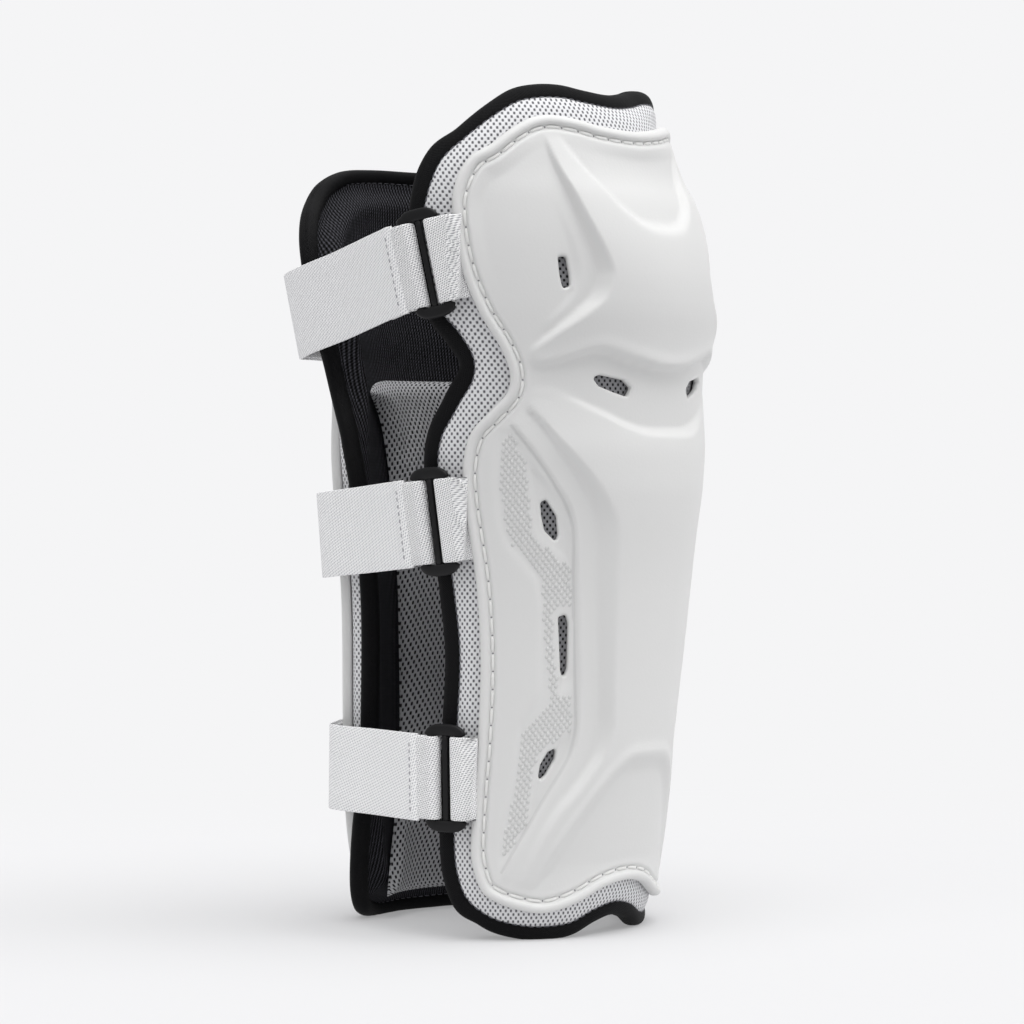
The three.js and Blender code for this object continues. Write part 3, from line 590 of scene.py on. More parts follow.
def woven(name, light, shade, pitch, slope, rough, depth):
    """A woven tape: cos(a) cos(b) on two slanting axes, so threads cross at an angle."""
    material, tree, shader = finish_of(name, Roughness=rough, Specular_IOR_Level=0.2, Sheen_Weight=0.2)
    u, v = cloth_axes(tree)
    one, two = (math(tree, "MULTIPLY_ADD", v, way, u) for way in (slope, -slope))
    cross = math(tree, "MULTIPLY", wave(tree, one, pitch), wave(tree, two, 2 * pitch))
    tone = blend(tree, between(tree, cross, *WEAVE_TONE), colour(shade), colour(light))
    dress(tree, shader, tone, Strength=0.6, Distance=depth, Height=cross)
    return material


webbing = woven(
    "white elastic webbing", "#fdfdfd", "#acacb0", pitch=1.25, slope=1.1, rough=0.8, depth=0.0003
)
tab_cloth = woven("white brushed tab", "#fdfdfd", "#c6c6ca", pitch=1.4, slope=0.9, rough=0.85, depth=0.0002)
white_thread, grey_thread, black_thread = (
    finish_of(f"{tone} thread", Base_Color=colour(code), Roughness=0.6)[0]
    for tone, code in (("white", "#e6e6e4"), ("grey", "#a3a3a7"), ("black", "#5a5a60"))
)
black_nylon, tree, shader = finish_of(
    "black nylon", Base_Color=colour("#08080a"), Roughness=0.42, Specular_IOR_Level=0.28
)
grain = add(tree, "TexNoise", Vector=object_place(tree), Scale=1500.0)
dress(tree, shader, Strength=0.08, Distance=0.0002, Height=grain)
print("materials:", ", ".join(m.name for m in bpy.data.materials))

# %% [markdown]
# ## The shell's relief
# The mould gives the shell its look: a dome over the elbow with a sharp flank on each side, a narrow
# neck below it, and a forearm with a raised middle between two rails. Each form is a smooth step whose
# place comes from a table. The two halves mirror each other, but the forearm's far half is lower.

# %% The shell's relief
CUP_STEP = [  # height, foot and brow of the dome's flank in degrees, rise
    (202, 48, 45.4, 5.5), (206.7, 46, 42.6, 5.5), (209, 43.8, 40, 5.5), (213, 39.6, 35.4, 5.5),
    (217.6, 34.8, 29.8, 5.5), (221.7, 31, 25.2, 5.5), (224, 28.8, 23.2, 5.6), (226.6, 27.1, 21.9, 5.7),
    (229.6, 26.2, 21, 5.8), (234.4, 25.8, 20.4, 5.8), (243.2, 27.2, 23, 5.4), (252, 28.9, 26, 4.6),
    (260.8, 30.4, 28.4, 3.5), (270, 31.8, 30.4, 2.1), (278, 33.2, 32.2, 0.7), (284, 34.2, 33.4, 0),
]  # fmt: skip
SWELL = [  # height, edge of the low swell round the cup's slot, rise
    (212, 43, 0), (216.2, 40.3, 0.5), (222, 35.4, 0.9), (227, 32.2, 1.1), (233, 30.8, 1.2),
    (240, 31.3, 1.1), (247, 32.5, 0.8), (256, 34.6, 0.2), (260, 36, 0),
]  # fmt: skip
NECK = [  # turn, fold under the dome, top of its lip, shoulder's top and foot, rise
    (0, 199.2, 204, 180.4, 176.4, 3.9), (6, 199.7, 204.9, 180.4, 176.4, 3.9),
    (11, 201, 206.4, 181, 177, 3.8), (17, 202.8, 208.4, 183, 179.2, 3.5),
    (23, 204.9, 210, 186, 182.4, 3.2), (27.5, 205.1, 209.2, 188.1, 184.9, 2.9),
    (33, 203.2, 206.8, 190.9, 188, 2.5), (40, 200.9, 203.4, 193.9, 191.2, 1.8),
    (44, 200.5, 202.6, 193.9, 191.6, 1.2), (48, 200.4, 202.4, 193.6, 191.6, 0.2),
    (54, 200.4, 202.4, 193, 191, 0),
]  # fmt: skip
FOREARM = [  # height, rail's edge, foot and brow of the slope, rail's rise, middle's rise
    (14, 56, 51, 47, 0, 0), (22, 52, 46.5, 42.5, 0.4, 0.5), (27, 49.2, 44, 40, 0.7, 0.9),
    (31, 47.2, 42.3, 38.4, 0.9, 1.2), (40, 42.3, 38.1, 33.9, 1.1, 2.0), (47, 38.7, 33.8, 29.9, 1.1, 2.6),
    (54, 35, 28.4, 24.6, 1.1, 3.2), (60, 31.8, 24.4, 21, 1.1, 3.5), (66, 29.2, 21.4, 17.6, 1.1, 3.8),
    (74, 28, 20.3, 15.8, 1.1, 4), (83, 28.5, 21.2, 16.2, 1.1, 4), (92, 29.3, 22.2, 16.8, 1.1, 4),
    (109, 30.8, 24.1, 17.5, 1.1, 4), (127, 31.9, 25.7, 18.2, 1.1, 4), (141, 32.4, 26.2, 18.6, 1.1, 4),
    (148, 33.4, 27.2, 19.6, 1.1, 4), (154, 35.6, 29, 22.2, 1.1, 3.9), (158, 37.8, 30.6, 24.4, 1.1, 3.8),
    (164, 41, 33.6, 28, 1.0, 3.4), (173, 46.6, 39, 34.8, 0.9, 2.6), (181, 52, 43.6, 41, 0.5, 1.6),
    (190, 56, 50, 48, 0, 0.6),
]  # fmt: skip
PANEL = [  # turn, foot and top of the ledge round the dome's upper panel
    (0, 247.2, 252), (4, 247.4, 252), (9.3, 249.6, 253.2), (12.5, 252.4, 255.8), (16, 256.2, 259.2),
    (21.3, 265.4, 268.2), (26.2, 275, 277), (31, 284, 286), (36, 292, 294),
]  # fmt: skip
PANEL_DEPTH = 2.5
PANEL_FADE = (262, 286)  # heights over which the panel runs out
ARCH = [  # turn, inner and outer line of the arch at the wrist
    (0, 59.2, 64.3), (8, 58.9, 63.8), (12, 56.2, 61.4), (15.7, 50.8, 57.6), (18.7, 46.4, 53.8),
    (24, 37.2, 46), (28.3, 30, 39.2), (33, 22, 31.5), (40, 10, 20),
]  # fmt: skip
ARCH_DEPTH = 1.5
ARCH_RIDGE, RIDGE_ABOVE, RIDGE_SPREAD, RIDGE_END = 0.9, 1.2, 2.4, (38, 30)  # a soft ridge over the arch
LIP_SPAN = (-0.8, 2.0)  # the dome's lip rises from below the fold to above it
LIP_ROLL, ROLL_SPREAD, FULL_NECK = 0.5, 2.2, 3  # the lip is rolled where the neck is full
LIP_BLEND = (203, 224)  # heights over which the dome's rise takes over from the neck's
SWELL_EDGE = (-2.4, 0.8)  # degrees either side of the swell's edge
CREST_SHARE, CREST_TURN, CREST_HEIGHT = 0.35, (18, 46), (120, 172)  # the shoulder's crest
RAIL_EDGE = 1.3  # degrees
DISHES = [  # plain dishes round the forearm's slots
    [(-46.5, 167.6), (-46.2, 163.6), (-45.5, 153.7), (-44.6, 143.8), (-41.3, 139.8), (-36.4, 135.1),
     (-32.6, 131.1), (-32.7, 150.4), (-35.6, 155), (-41.6, 162.3)],
    [(-36.1, 115.1), (-37.5, 111.9), (-34.9, 93.4), (-34.8, 87), (-31.8, 88.6), (-29.2, 91.7),
     (-30.7, 99.8), (-32.6, 113.4)],
    [(-28.6, 74), (-33.6, 70.1), (-38, 65.4), (-40.5, 57.4), (-41.2, 45.4), (-38.8, 44.5),
     (-32.5, 57.2), (-28.4, 66.8)],
]  # fmt: skip
DISH_DEPTH, DISH_EDGE = 0.55, (-1.6, 0.1)
RECESS = [  # the side panel steps down softly to the field of dots
    (-57, 181), (-57.5, 172), (-57.6, 158), (-56.6, 147), (-54.6, 139), (-49.6, 132.6), (-45, 126.4),
    (-43.6, 119), (-43, 100), (-42.4, 88), (-45.4, 81.4), (-48.2, 76), (-48.8, 66), (-49.4, 54), (-51.4, 42),
    (-53, 30), (-52, 24), (-40, 40), (-27, 68), (-26.6, 90), (-30, 130), (-32, 142), (-40, 160), (-51, 180),
]  # fmt: skip
RECESS_DEPTH, RECESS_EDGE = 0.6, (-2.6, 0)
SEAM_INSIDE = (5.2, 11.2)  # the relief grows in over this distance from the rim
RELIEF_END = (58, 72)  # beyond this turn the shell is plain
FAR_HALF, FAR_SHARE, FAR_BELOW = (6, 34), 0.4, (192, 208)  # the forearm's far half is moulded lower
FLAT_DEPTH, FLAT_TURN = 3.3, (-26, 6)  # a flatter part of the cup, half as deep on the near side
FLAT_RISE, FLAT_FALL = (217, 256), (264, 286)
RAIL_DEGREE, RAIL_LEAST = 1.1, 0.5  # millimetres to a degree along the rails, least rise with a line
NO_LINE = 50.0  # a distance from the rails' lines at which none is drawn


def relief(turn, height):
    """Height of the moulded forms above the plain shell, away from the rim.

    The cup is the dome with its lip and swell, less the upper panel. The forearm is rails, slopes and
    crest, less the arch. Both lose the dishes, and the flatter part is taken off the whole.
    """
    side = np.abs(turn)
    foot, brow, rise = table_at(CUP_STEP, height)
    fold, lip_top, shoulder_top, shoulder_foot, neck_rise = table_at(NECK, side)
    flank = ramp(side, brow, foot)
    risen = step(height, *LIP_BLEND)
    dome = (neck_rise * (1 - risen) + rise * risen) * (1 - flank)
    roll = LIP_ROLL * np.minimum(neck_rise / FULL_NECK, 1)
    roll = roll * hump(height, (fold + LIP_SPAN[1] + lip_top) / 2, ROLL_SPREAD)
    swell_edge, swell_rise = table_at(SWELL, height)
    swell = swell_rise * (1 - step(side - swell_edge, *SWELL_EDGE)) * flank
    panel = PANEL_DEPTH * ramp(height, *table_at(PANEL, side)) * (1 - step(height, *PANEL_FADE))
    cup = np.maximum(ramp(height - fold, *LIP_SPAN) * (dome + roll + swell) - panel, 0)

    rail, slope_foot, slope_brow, rail_rise, arm_rise = table_at(FOREARM, height)
    rails = rail_rise * (1 - ramp(side, rail - RAIL_EDGE, rail))
    body = arm_rise * (1 - ramp(side, slope_brow, slope_foot))
    crest = CREST_SHARE * neck_rise * (1 - step(side, *CREST_TURN)) * step(height, *CREST_HEIGHT)
    arch_in, arch_out = table_at(ARCH, side)
    arch = ARCH_DEPTH * (1 - ramp(height, arch_in, arch_out))
    arch -= ARCH_RIDGE * hump(height, arch_out + RIDGE_ABOVE, RIDGE_SPREAD) * step(side, *RIDGE_END)
    under = 1 - ramp(height, shoulder_foot, shoulder_top)
    forearm = np.maximum(under * (rails + body + crest - arch), 0)

    dished = sum(1 - step(outline_distance(-side, height, dish), *DISH_EDGE) for dish in DISHES)
    recessed = 1 - step(outline_distance(-side, height, RECESS), *RECESS_EDGE)
    lower = 1 - (1 - FAR_SHARE) * step(turn, *FAR_HALF) * (1 - step(height, *FAR_BELOW))
    flat = FLAT_DEPTH * (0.5 + 0.5 * step(turn, *FLAT_TURN))
    flat = flat * step(height, *FLAT_RISE) * (1 - step(height, *FLAT_FALL))
    forms = cup + forearm - DISH_DEPTH * dished - RECESS_DEPTH * recessed
    return (forms * lower - flat) * (1 - step(turn, *RELIEF_END))


def rail_line(turn, height):
    """Distance from the fine line that is cut along each rail, square to it; far where there is none."""
    at, edge = np.array(FOREARM)[:, :2].T
    rail, rise = table_at(FOREARM, height)[[0, 3]]
    lean = np.interp(height, at, np.gradient(edge, at) * RAIL_DEGREE)
    off = (np.abs(turn) - rail) * degree(height) / np.hypot(1, lean)
    return np.where((rise > RAIL_LEAST) & (turn < RELIEF_END[0]), off, NO_LINE)


# %% [markdown]
# ## Slots
# Five slots on each half let air through to the mesh. A slot is a polygon with rounded corners: all
# points nearer to the polygon than the corner radius. The distance to it also says how far a point is
# from the slot's edge, which the shell needs in order to turn its wall down into the slot.

# %% Slots
SLOT_ROUND = 0.9
SLOTS = [  # corners of each slot, turn and height, from the cup down to the wrist
    [(-34.4, 237.6), (-33.4, 237.7), (-32.9, 232), (-33.0, 229.0), (-33.8, 228.7), (-34.3, 232.5)],
    [(-25.4, 196.6), (-24.2, 197.1), (-16.4, 195.5), (-14.3, 193.4), (-15.3, 191.6), (-19.4, 192.9),
     (-24.2, 194.9)],
    [(-41.8, 153.2), (-41.2, 153.6), (-38.4, 148.7), (-37.7, 142.6), (-38.0, 141.6), (-40.6, 144.4),
     (-41.5, 149)],
    [(-35.2, 113.2), (-34.1, 113.6), (-33.4, 111.6), (-32.7, 95.6), (-33.1, 94.2), (-33.5, 95.6)],
    [(-34.7, 66.6), (-34.8, 64.4), (-37.6, 59), (-38.5, 58.2), (-38.2, 61.7), (-36.1, 65.9)],
]  # fmt: skip


def slot_distance(turn, height):
    """Distance in millimetres from the edge of the nearest slot, on either half."""
    side = -np.abs(turn)
    return np.min([outline_distance(side, height, slot) for slot in SLOTS], axis=0) - SLOT_ROUND


# %% [markdown]
# ## The shell
# The shell's outside is a fine grid. Around it runs a collar: a section carried along the rim, with the
# seam's groove, the round bead and the turned-under edge. The inside is the same grid one wall further
# in. Grid points near a slot are moved on to a line just outside it, the faces within are left out, and
# a second, smaller collar turns the wall down into the slot.

# %% The shell
WALL, SEAM_DEPTH = 2.5, 0.8
OFF_SEAM = 1000.0  # UV place of all that isn't beside the seam
COLLAR = np.array([  # distance inwards from the rim, height above the plain shell
    (7.4, 0.0), (6.7, 0.05), (6.1, 0.06), (5.65, -0.08), (5.35, -0.38), (5.1, -0.68), (4.7, -0.82),
    (4.1, -0.82), (3.72, -0.66), (3.5, -0.3), (3.3, 0.2), (3.0, 0.66), (2.5, 1.04), (1.75, 1.22),
    (1.0, 1.06), (0.45, 0.68), (0.12, 0.1), (0.0, -0.6), (0.0, -1.5), (0.2, -2.2), (0.9, -2.5), (7.4, -2.5),
])  # fmt: skip
SLOT_COLLAR = np.array([  # distance outwards from the slot's edge, height above the shell
    (1.7, 0.0), (1.0, 0.0), (0.55, -0.14), (0.22, -0.42), (0.04, -0.9), (0.0, -1.5), (0.0, -2.1),
    (0.5, -2.5), (1.7, -2.5),
])  # fmt: skip
SHELL_COLUMNS = shares(190, [  # closer together on the near half, and most beside its slots
    (0, 1), (0.08, 1), (0.1, 1.9), (0.165, 1.9), (0.19, 1), (0.42, 0.85), (0.52, 0.2), (1, 0.2),
])  # fmt: skip
SHELL_ROWS = shares(206, [(0, 0.9), (0.5, 0.9), (0.6, 1.7), (0.76, 1.7), (0.85, 0.9), (1, 0.9)])
columns, rows = len(SHELL_COLUMNS) - 1, len(SHELL_ROWS) - 1

rim_loop = loop_of(RIM, SHELL_COLUMNS, SHELL_ROWS)
grid_loop = inset(rim_loop, COLLAR[0, 0])
EASE_TURNS = 20
tight = np.concatenate([np.arange(-8, 9), columns + rows + np.arange(-2, 3)])
for _ in range(EASE_TURNS):  # the corners at the near wrist and the far top, or the grid would fold
    middle = (np.roll(grid_loop, 1, axis=0) + np.roll(grid_loop, -1, axis=0)) / 2
    grid_loop[tight] = middle[tight]
places = fill(grid_loop, SHELL_COLUMNS, SHELL_ROWS)
lip = SLOT_COLLAR[0, 0]
gap = slot_distance(*split(places)) - lip
snap = np.zeros(gap.shape, bool)
every, before, after = slice(None), slice(None, -1), slice(1, None)
for a, b in [((every, before), (every, after)), (before, after)]:
    crossing = gap[a] * gap[b] < 0
    first = np.abs(gap[a]) <= np.abs(gap[b])
    snap[a] |= crossing & first
    snap[b] |= crossing & ~first


def slot_slope(turn, height):
    """Direction away from the nearest slot, as degrees and millimetres per millimetre."""
    reach, mm = 0.05, degree(height)
    east = slot_distance(turn + reach / mm, height) - slot_distance(turn - reach / mm, height)
    north = slot_distance(turn, height + reach) - slot_distance(turn, height - reach)
    size = np.hypot(east, north) + 1e-9
    return np.stack([east / size / mm, north / size], axis=-1)


places[snap] -= gap[snap, None] * slot_slope(*places[snap].T)
gap[snap] = 0
corner = grid_faces(rows, columns)
held = gap.ravel()[corner]
whole = corner[(held >= 0).all(axis=1) & (held > 0).any(axis=1)]
mixed = ((held < 0).sum(axis=1) == 1) & (held > 0).any(axis=1)
turned = (np.argmax(held[mixed] < 0, axis=1)[:, None] + [1, 2, 3]) % 4
cut = np.take_along_axis(corner[mixed], turned, axis=1)

# Edges of the faces that are left which have no face on their other side, the grid's own border aside
edges = np.vstack([np.stack([f, np.roll(f, -1, axis=1)], axis=-1).reshape(-1, 2) for f in (whole, cut)])
count = gap.size
lone = ~np.isin(edges[:, 0] * count + edges[:, 1], edges[:, 1] * count + edges[:, 0])
on_border = np.isin(edges, border(rows, columns)).all(axis=1)
slot_edges = edges[lone & ~on_border]
slot_points, slot_edges = np.unique(slot_edges, return_inverse=True)
slot_edges = slot_edges.reshape(-1, 2)

from_rim = distance_to(rim_loop, places)
raised = relief(*split(places)) * step(from_rim, *SEAM_INSIDE)
outside = on_sleeve(*split(places), -raised).reshape(-1, 3)
inside = on_sleeve(*split(places), WALL - raised).reshape(-1, 3)

rings = inset(rim_loop, COLLAR[1:-1, 0, None, None])
ring_rise = relief(*split(rings)) * step(COLLAR[1:-1, 0], *SEAM_INSIDE)[:, None]
collar = on_sleeve(*split(rings), -ring_rise - COLLAR[1:-1, 1, None])

slot_place = places.reshape(-1, 2)[slot_points]
away = slot_slope(*slot_place.T)
slot_rings = slot_place + away * (SLOT_COLLAR[1:-1, 0] - lip)[:, None, None]
slot_rise = raised.ravel()[slot_points] + SLOT_COLLAR[1:-1, 1, None]
slot_wall = on_sleeve(*split(slot_rings), -slot_rise)

points = np.vstack([outside, inside, collar.reshape(-1, 3), slot_wall.reshape(-1, 3)])
collar_ids = numbers(collar.shape, 2 * count)
slot_ids = np.vstack([slot_points, numbers(slot_wall.shape, collar_ids.max() + 1), slot_points + count])
collar_ids = np.vstack([border(rows, columns), collar_ids, border(rows, columns, count)])
a, b = slot_ids[:, slot_edges[:, 0]], slot_ids[:, slot_edges[:, 1]]
slot_faces = np.stack([b[:-1], a[:-1], a[1:], b[1:]], axis=-1).reshape(-1, 4)

seam_line = closed_up(inset(rim_loop, SEAM))
seam_3d = on_sleeve(*split(seam_line), SEAM_DEPTH)
seam_length = lengths(seam_3d)
stitch_count = round(seam_length[-1] / STITCH_PITCH)
rim_u = seam_length[:-1] * stitch_count * STITCH_PITCH / seam_length[-1]
shell_uv = np.full((len(points), 2), OFF_SEAM)
shell_uv[collar_ids] = paired(rim_u, COLLAR[:, 0, None])
shell_line = np.full(len(points), NO_LINE)
shell_line[:count] = rail_line(*split(places)).ravel()
faces = [whole, cut, whole[:, ::-1] + count, cut[:, ::-1] + count, band_faces(collar_ids), slot_faces]
make("moulded_shell", points, faces, moulded, uv=shell_uv, value=shell_line)

# %% [markdown]
# ## Stitches
# Each stitch is a short thread that comes up through one hole, lies along the seam and goes down
# through the next. One function sews any line: it cuts the line into even steps and lays a small,
# slightly arched capsule on each.


# %% Stitches
STITCH_RINGS, STITCH_SIDES = 7, 6
END_POWER, END_THIN, MIDDLE_RISE, END_SINK = 6, 0.9, 0.5, 1.1  # how a stitch thins and sinks at its ends
WELL_INSIDE = 10  # a depth from which a seam is looked at to tell outwards


def sew(name, line, outward, pitch, share, radius, material, count=None, flat=1.0):
    """Capsules along a line: rings of six points round a piece of it, thin and sunk at both ends."""
    length = lengths(line)
    count = count or int(length[-1] / pitch)
    middle = (np.arange(count) + 0.5) * length[-1] / count
    s = np.linspace(-1, 1, STITCH_RINGS)
    at = middle[:, None] + s * share * length[-1] / count / 2
    spot = along(line, at)
    out = unit(np.stack([np.interp(at, length, c) for c in outward.T], axis=-1))
    side = unit(np.cross(np.gradient(spot, axis=1), out))
    girth = radius * np.sqrt(1 - END_THIN * s**END_POWER)[:, None, None]
    rise = (radius * (MIDDLE_RISE - END_SINK * s**END_POWER))[:, None]
    turn = circle(STITCH_SIDES)
    ring = np.cos(turn)[:, None] * out[:, :, None] + flat * np.sin(turn)[:, None] * side[:, :, None]
    points = (spot + out * rise)[:, :, None] + ring * girth
    ids = np.arange(points.size // 3).reshape(count, STITCH_RINGS, STITCH_SIDES)
    after = np.roll(ids, -1, axis=2)
    bands = np.stack([ids[:, :-1], after[:, :-1], after[:, 1:], ids[:, 1:]], axis=-1)
    caps = np.concatenate([ids[:, 0, ::-1], ids[:, -1]])
    make(name, points.reshape(-1, 3), [bands.reshape(-1, 4), caps], material)


seam_out = seam_3d - on_sleeve(*split(seam_line), WELL_INSIDE)
sew(
    "seam_stitches", seam_3d, seam_out, STITCH_PITCH, share=0.93, radius=0.38, material=white_thread,
    count=stitch_count, flat=1.7,
)  # fmt: skip

# %% [markdown]
# ## Grip dots
# A field of small raised dots runs down beside the slots. On the real shell they are cut into the
# mould in staggered rows. Here each is a low dome of two rings that sits on the moulded surface.

# %% Grip dots
DOT_FIELD = [  # outline of the field: down its outer edge, then up beside the rail and round the slots
    (-53.2, 178.2), (-54.3, 172.9), (-54.8, 166.9), (-54.7, 158.3), (-53.9, 150.4), (-53.0, 143.1),
    (-51.3, 139.1), (-46.0, 133.8), (-42.2, 127.8), (-41.6, 121.1), (-41.2, 114.5), (-40, 104),
    (-38.8, 95.9), (-37.8, 89.4), (-37.4, 84.6), (-40.9, 79.9), (-45.5, 75.1), (-46.2, 67.9), (-46.2, 60.7),
    (-47.2, 52.7), (-48.7, 44.6), (-49.9, 36.6), (-50.3, 28.5), (-46.4, 35), (-42.6, 42), (-41.8, 46),
    (-41, 57.4), (-38.6, 65.4), (-34, 70.6), (-29.4, 74.2), (-30, 87), (-34.6, 86), (-35.4, 93.4),
    (-37.3, 109), (-38.3, 115.5), (-36, 117.6), (-31.8, 116.6), (-32.6, 130), (-36.4, 134.4),
    (-41.5, 139), (-45.2, 143.4), (-46.1, 153.7), (-46.8, 163.6), (-47.4, 167.6), (-50, 175),
]  # fmt: skip
DOT_PITCH, DOT_ROW, DOT_RADIUS, DOT_RISE = 2.2, 1.3, 0.95, 0.34
DOT_OVAL, DOT_SIDES = 0.86, 8  # width for a height of 1, points round each ring
DOT_RINGS = np.array([(1.0, -0.12), (0.66, 0.72)])  # share of the dot's radius, share of its rise
DOT_SPAN, DOT_HEIGHTS = (-70, -20), (26, 180)  # the rows are laid out over this, then cut to the field
CLEAR_OF_SLOT = 2.0

v, u = np.meshgrid(np.arange(*DOT_HEIGHTS, DOT_ROW), np.arange(*DOT_SPAN, DOT_PITCH), indexing="ij")
u = u + (np.arange(len(u)) % 2)[:, None] * DOT_PITCH / 2
turn, height = (u / degree(v)).ravel(), v.ravel()
keep = within(turn, height, np.array(DOT_FIELD)) & (slot_distance(turn, height) > CLEAR_OF_SLOT)
turn, height = turn[keep], height[keep]
turn, height = np.concatenate([turn, -turn]), np.concatenate([height, height])
spin = circle(DOT_SIDES)
du = DOT_RADIUS * DOT_RINGS[:, 0, None] * np.cos(spin) * DOT_OVAL
dv = DOT_RADIUS * DOT_RINGS[:, 0, None] * np.sin(spin)
dot_turn = turn[:, None, None] + du / degree(height)[:, None, None]
dot_height = height[:, None, None] + dv
domes = on_sleeve(dot_turn, dot_height, -relief(dot_turn, dot_height) - DOT_RISE * DOT_RINGS[:, 1, None])
peaks = on_sleeve(turn, height, -relief(turn, height) - DOT_RISE)
points = np.vstack([domes.reshape(-1, 3), peaks])
ids = np.arange(domes.size // 3).reshape(-1, 2, DOT_SIDES)
low, high = np.moveaxis(ids, 1, 0)
low_after, high_after = np.moveaxis(np.roll(ids, -1, axis=2), 1, 0)
top = np.broadcast_to(ids.size + np.arange(len(turn))[:, None], low.shape)
skirt = np.stack([low, low_after, high_after, high], axis=-1).reshape(-1, 4)
crown = np.stack([high, high_after, top], axis=-1).reshape(-1, 3)
make("grip_dots", points, [skirt, crown], moulded, uv=np.full((len(points), 2), OFF_SEAM))

# %% [markdown]
# ## Pad and lining
# The sleeve is a foam sandwich: spacer mesh outside, black knit inside. The mesh swells a little
# between the shell's rim and the binding, and it is drawn down where the tape holds it. Under the
# shell it follows the moulded forms, so it is seen close behind every slot.

# %% Pad and lining
PAD_TOP, LINING_FACE = 3.1, 12.4  # depths of the sleeve's two faces
LINING_WALL, LINING_GAP = 1.2, 0.3
BINDING_WIDTH, BINDING_HALF = 6.2, 3.4
TUCK_IN, TUCK_UNDER = 1.2, 0.7  # the cloth ends this far inside the tape's width and thickness
EDGE_DEPTH = 7.2  # depth of the bound edge's middle; along the far side it comes from the next table
FAR_DEPTH = [  # height, depth
    (0, 4), (12, 3.6), (33, 5.4), (60, 8.6), (150, 9.2), (176, 7.2), (194, 3.8), (206, 3.2), (224, 3),
    (245, 3.2), (262, 3.8), (275, 5),
]  # fmt: skip
FAR_TURN = (165, 208)  # where that table takes over
UPRIGHT = 3.0  # the top edge leans in less by this much, in front of the elbow
UPRIGHT_FROM, UPRIGHT_TO, UPRIGHT_HEIGHT = (12, 34), (60, 90), (268, 288)
STRIP, STRIP_SWELL = 7.0, 0.6  # mesh that shows between the binding and the shell
LINING_RISE = 10  # distance from the edge over which the lining comes up to the tape
PUFF, PUFF_IN, PUFF_ABOVE = 1.6, (0, 12), (202, 216)  # the lining is fuller at the elbow
ROLL, ROLL_AT, ROLL_WIDTH = 0.9, 8, 4  # and rolled beside the binding
FLAT_RADIUS = 66.0  # radius at which the cloth's UV map is laid out
LAYER_COLUMNS = shares(150, [(0, 1), (0.46, 1), (0.56, 0.6), (1, 0.6)])
LAYER_ROWS = shares(110, [(0, 1), (1, 1)])
edge_loop = loop_of(EDGE, LAYER_COLUMNS, LAYER_ROWS)
layer_loop = inset(edge_loop, BINDING_WIDTH - TUCK_IN)
layer = fill(layer_loop, LAYER_COLUMNS, LAYER_ROWS)
from_edge = distance_to(layer_loop, layer)
layer_rim = distance_to(rim_loop, layer)


def edge_depth(places):
    """Depth of the bound edge's middle at a place."""
    turn, height = split(places)
    far = step(turn, *FAR_TURN)
    upright = step(turn, *UPRIGHT_FROM) * (1 - step(turn, *UPRIGHT_TO)) * step(height, *UPRIGHT_HEIGHT)
    return EDGE_DEPTH * (1 - far) + table_at(FAR_DEPTH, height)[0] * far - UPRIGHT * upright


def flat_uv(places):
    """Places of a layer as its cloth's flat coordinates in millimetres."""
    return (places * (FLAT_RADIUS * RAD, 1)).reshape(-1, 2)


def make_layer(name, places, outer, inner, material, value=None):
    """A closed wall between two depths of the same grid of places, joined round its border."""
    rows, columns = places.shape[0] - 1, places.shape[1] - 1
    count = places.shape[0] * places.shape[1]
    points = np.vstack([on_sleeve(*split(places), d).reshape(-1, 3) for d in (outer, inner)])
    faces = grid_faces(rows, columns)
    rim = np.stack([border(rows, columns), border(rows, columns, count)])
    uv = np.vstack([flat_uv(places)] * 2)
    value = None if value is None else np.tile(value.ravel(), 2)
    return make(name, points, [faces, faces[:, ::-1] + count, band_faces(rim)], material, uv, value)


covered = np.where(from_edge > STRIP, step(layer_rim, *SEAM_INSIDE), 0)
swell = STRIP_SWELL * np.sin(np.pi * np.clip(from_edge / STRIP, 0, 1))
tucked = BINDING_HALF - TUCK_UNDER
pad_outer = PAD_TOP + (edge_depth(layer) - tucked - PAD_TOP) * (1 - step(from_edge, 0, STRIP)) - swell
pad_outer -= covered * relief(*split(layer))
puff = PUFF * step(from_edge, *PUFF_IN) * step(layer[..., 1], *PUFF_ABOVE)
puff += ROLL * hump(from_edge, ROLL_AT, ROLL_WIDTH)
drawn_up = (edge_depth(layer) + tucked - LINING_FACE) * (1 - step(from_edge, 0, LINING_RISE))
lining_inner = LINING_FACE + drawn_up + puff
pad_inner = lining_inner - LINING_WALL - LINING_GAP
# the pad keeps covered as its attribute "line", which its material turns into painted shade under the shell
pad = make_layer("spacer_pad", layer, pad_outer, pad_inner, spacer_mesh, covered)
lining = make_layer("black_lining", layer, lining_inner - LINING_WALL, lining_inner, black_knit)

# %% [markdown]
# ## Binding
# The binding is a knitted tape folded over the raw edge and sewn through. Its section is a rounded
# oval carried along the edge; where the guard stands, the floor flattens it. Two rows of black
# stitches, one on each face, hold it.

# %% Binding
TAPE_COLUMNS, TAPE_ROWS = shares(190, [(0, 1), (1, 1)]), shares(170, [(0, 1), (1, 1)])
NEAR_TAPE, NEAR_TURN = 2.1, (-69, -60)  # the tape is this much wider along the near edge, outwards
TAPE_SIDES, TAPE_POWER = 24, 0.82  # a power below 1 squares the oval a little, as a folded tape is
TAPE_ROUND = 5.4  # radius with which the section's angle becomes a width for the UV map
ROW_IN, ROW_SHARE, ROW_PITCH = 5.0, 0.78, 2.9  # place of each row of stitches


def squared(wave_value, power):
    """A sine or cosine raised to a power, with its sign kept: a rounder or squarer oval."""
    return np.sign(wave_value) * np.abs(wave_value) ** power


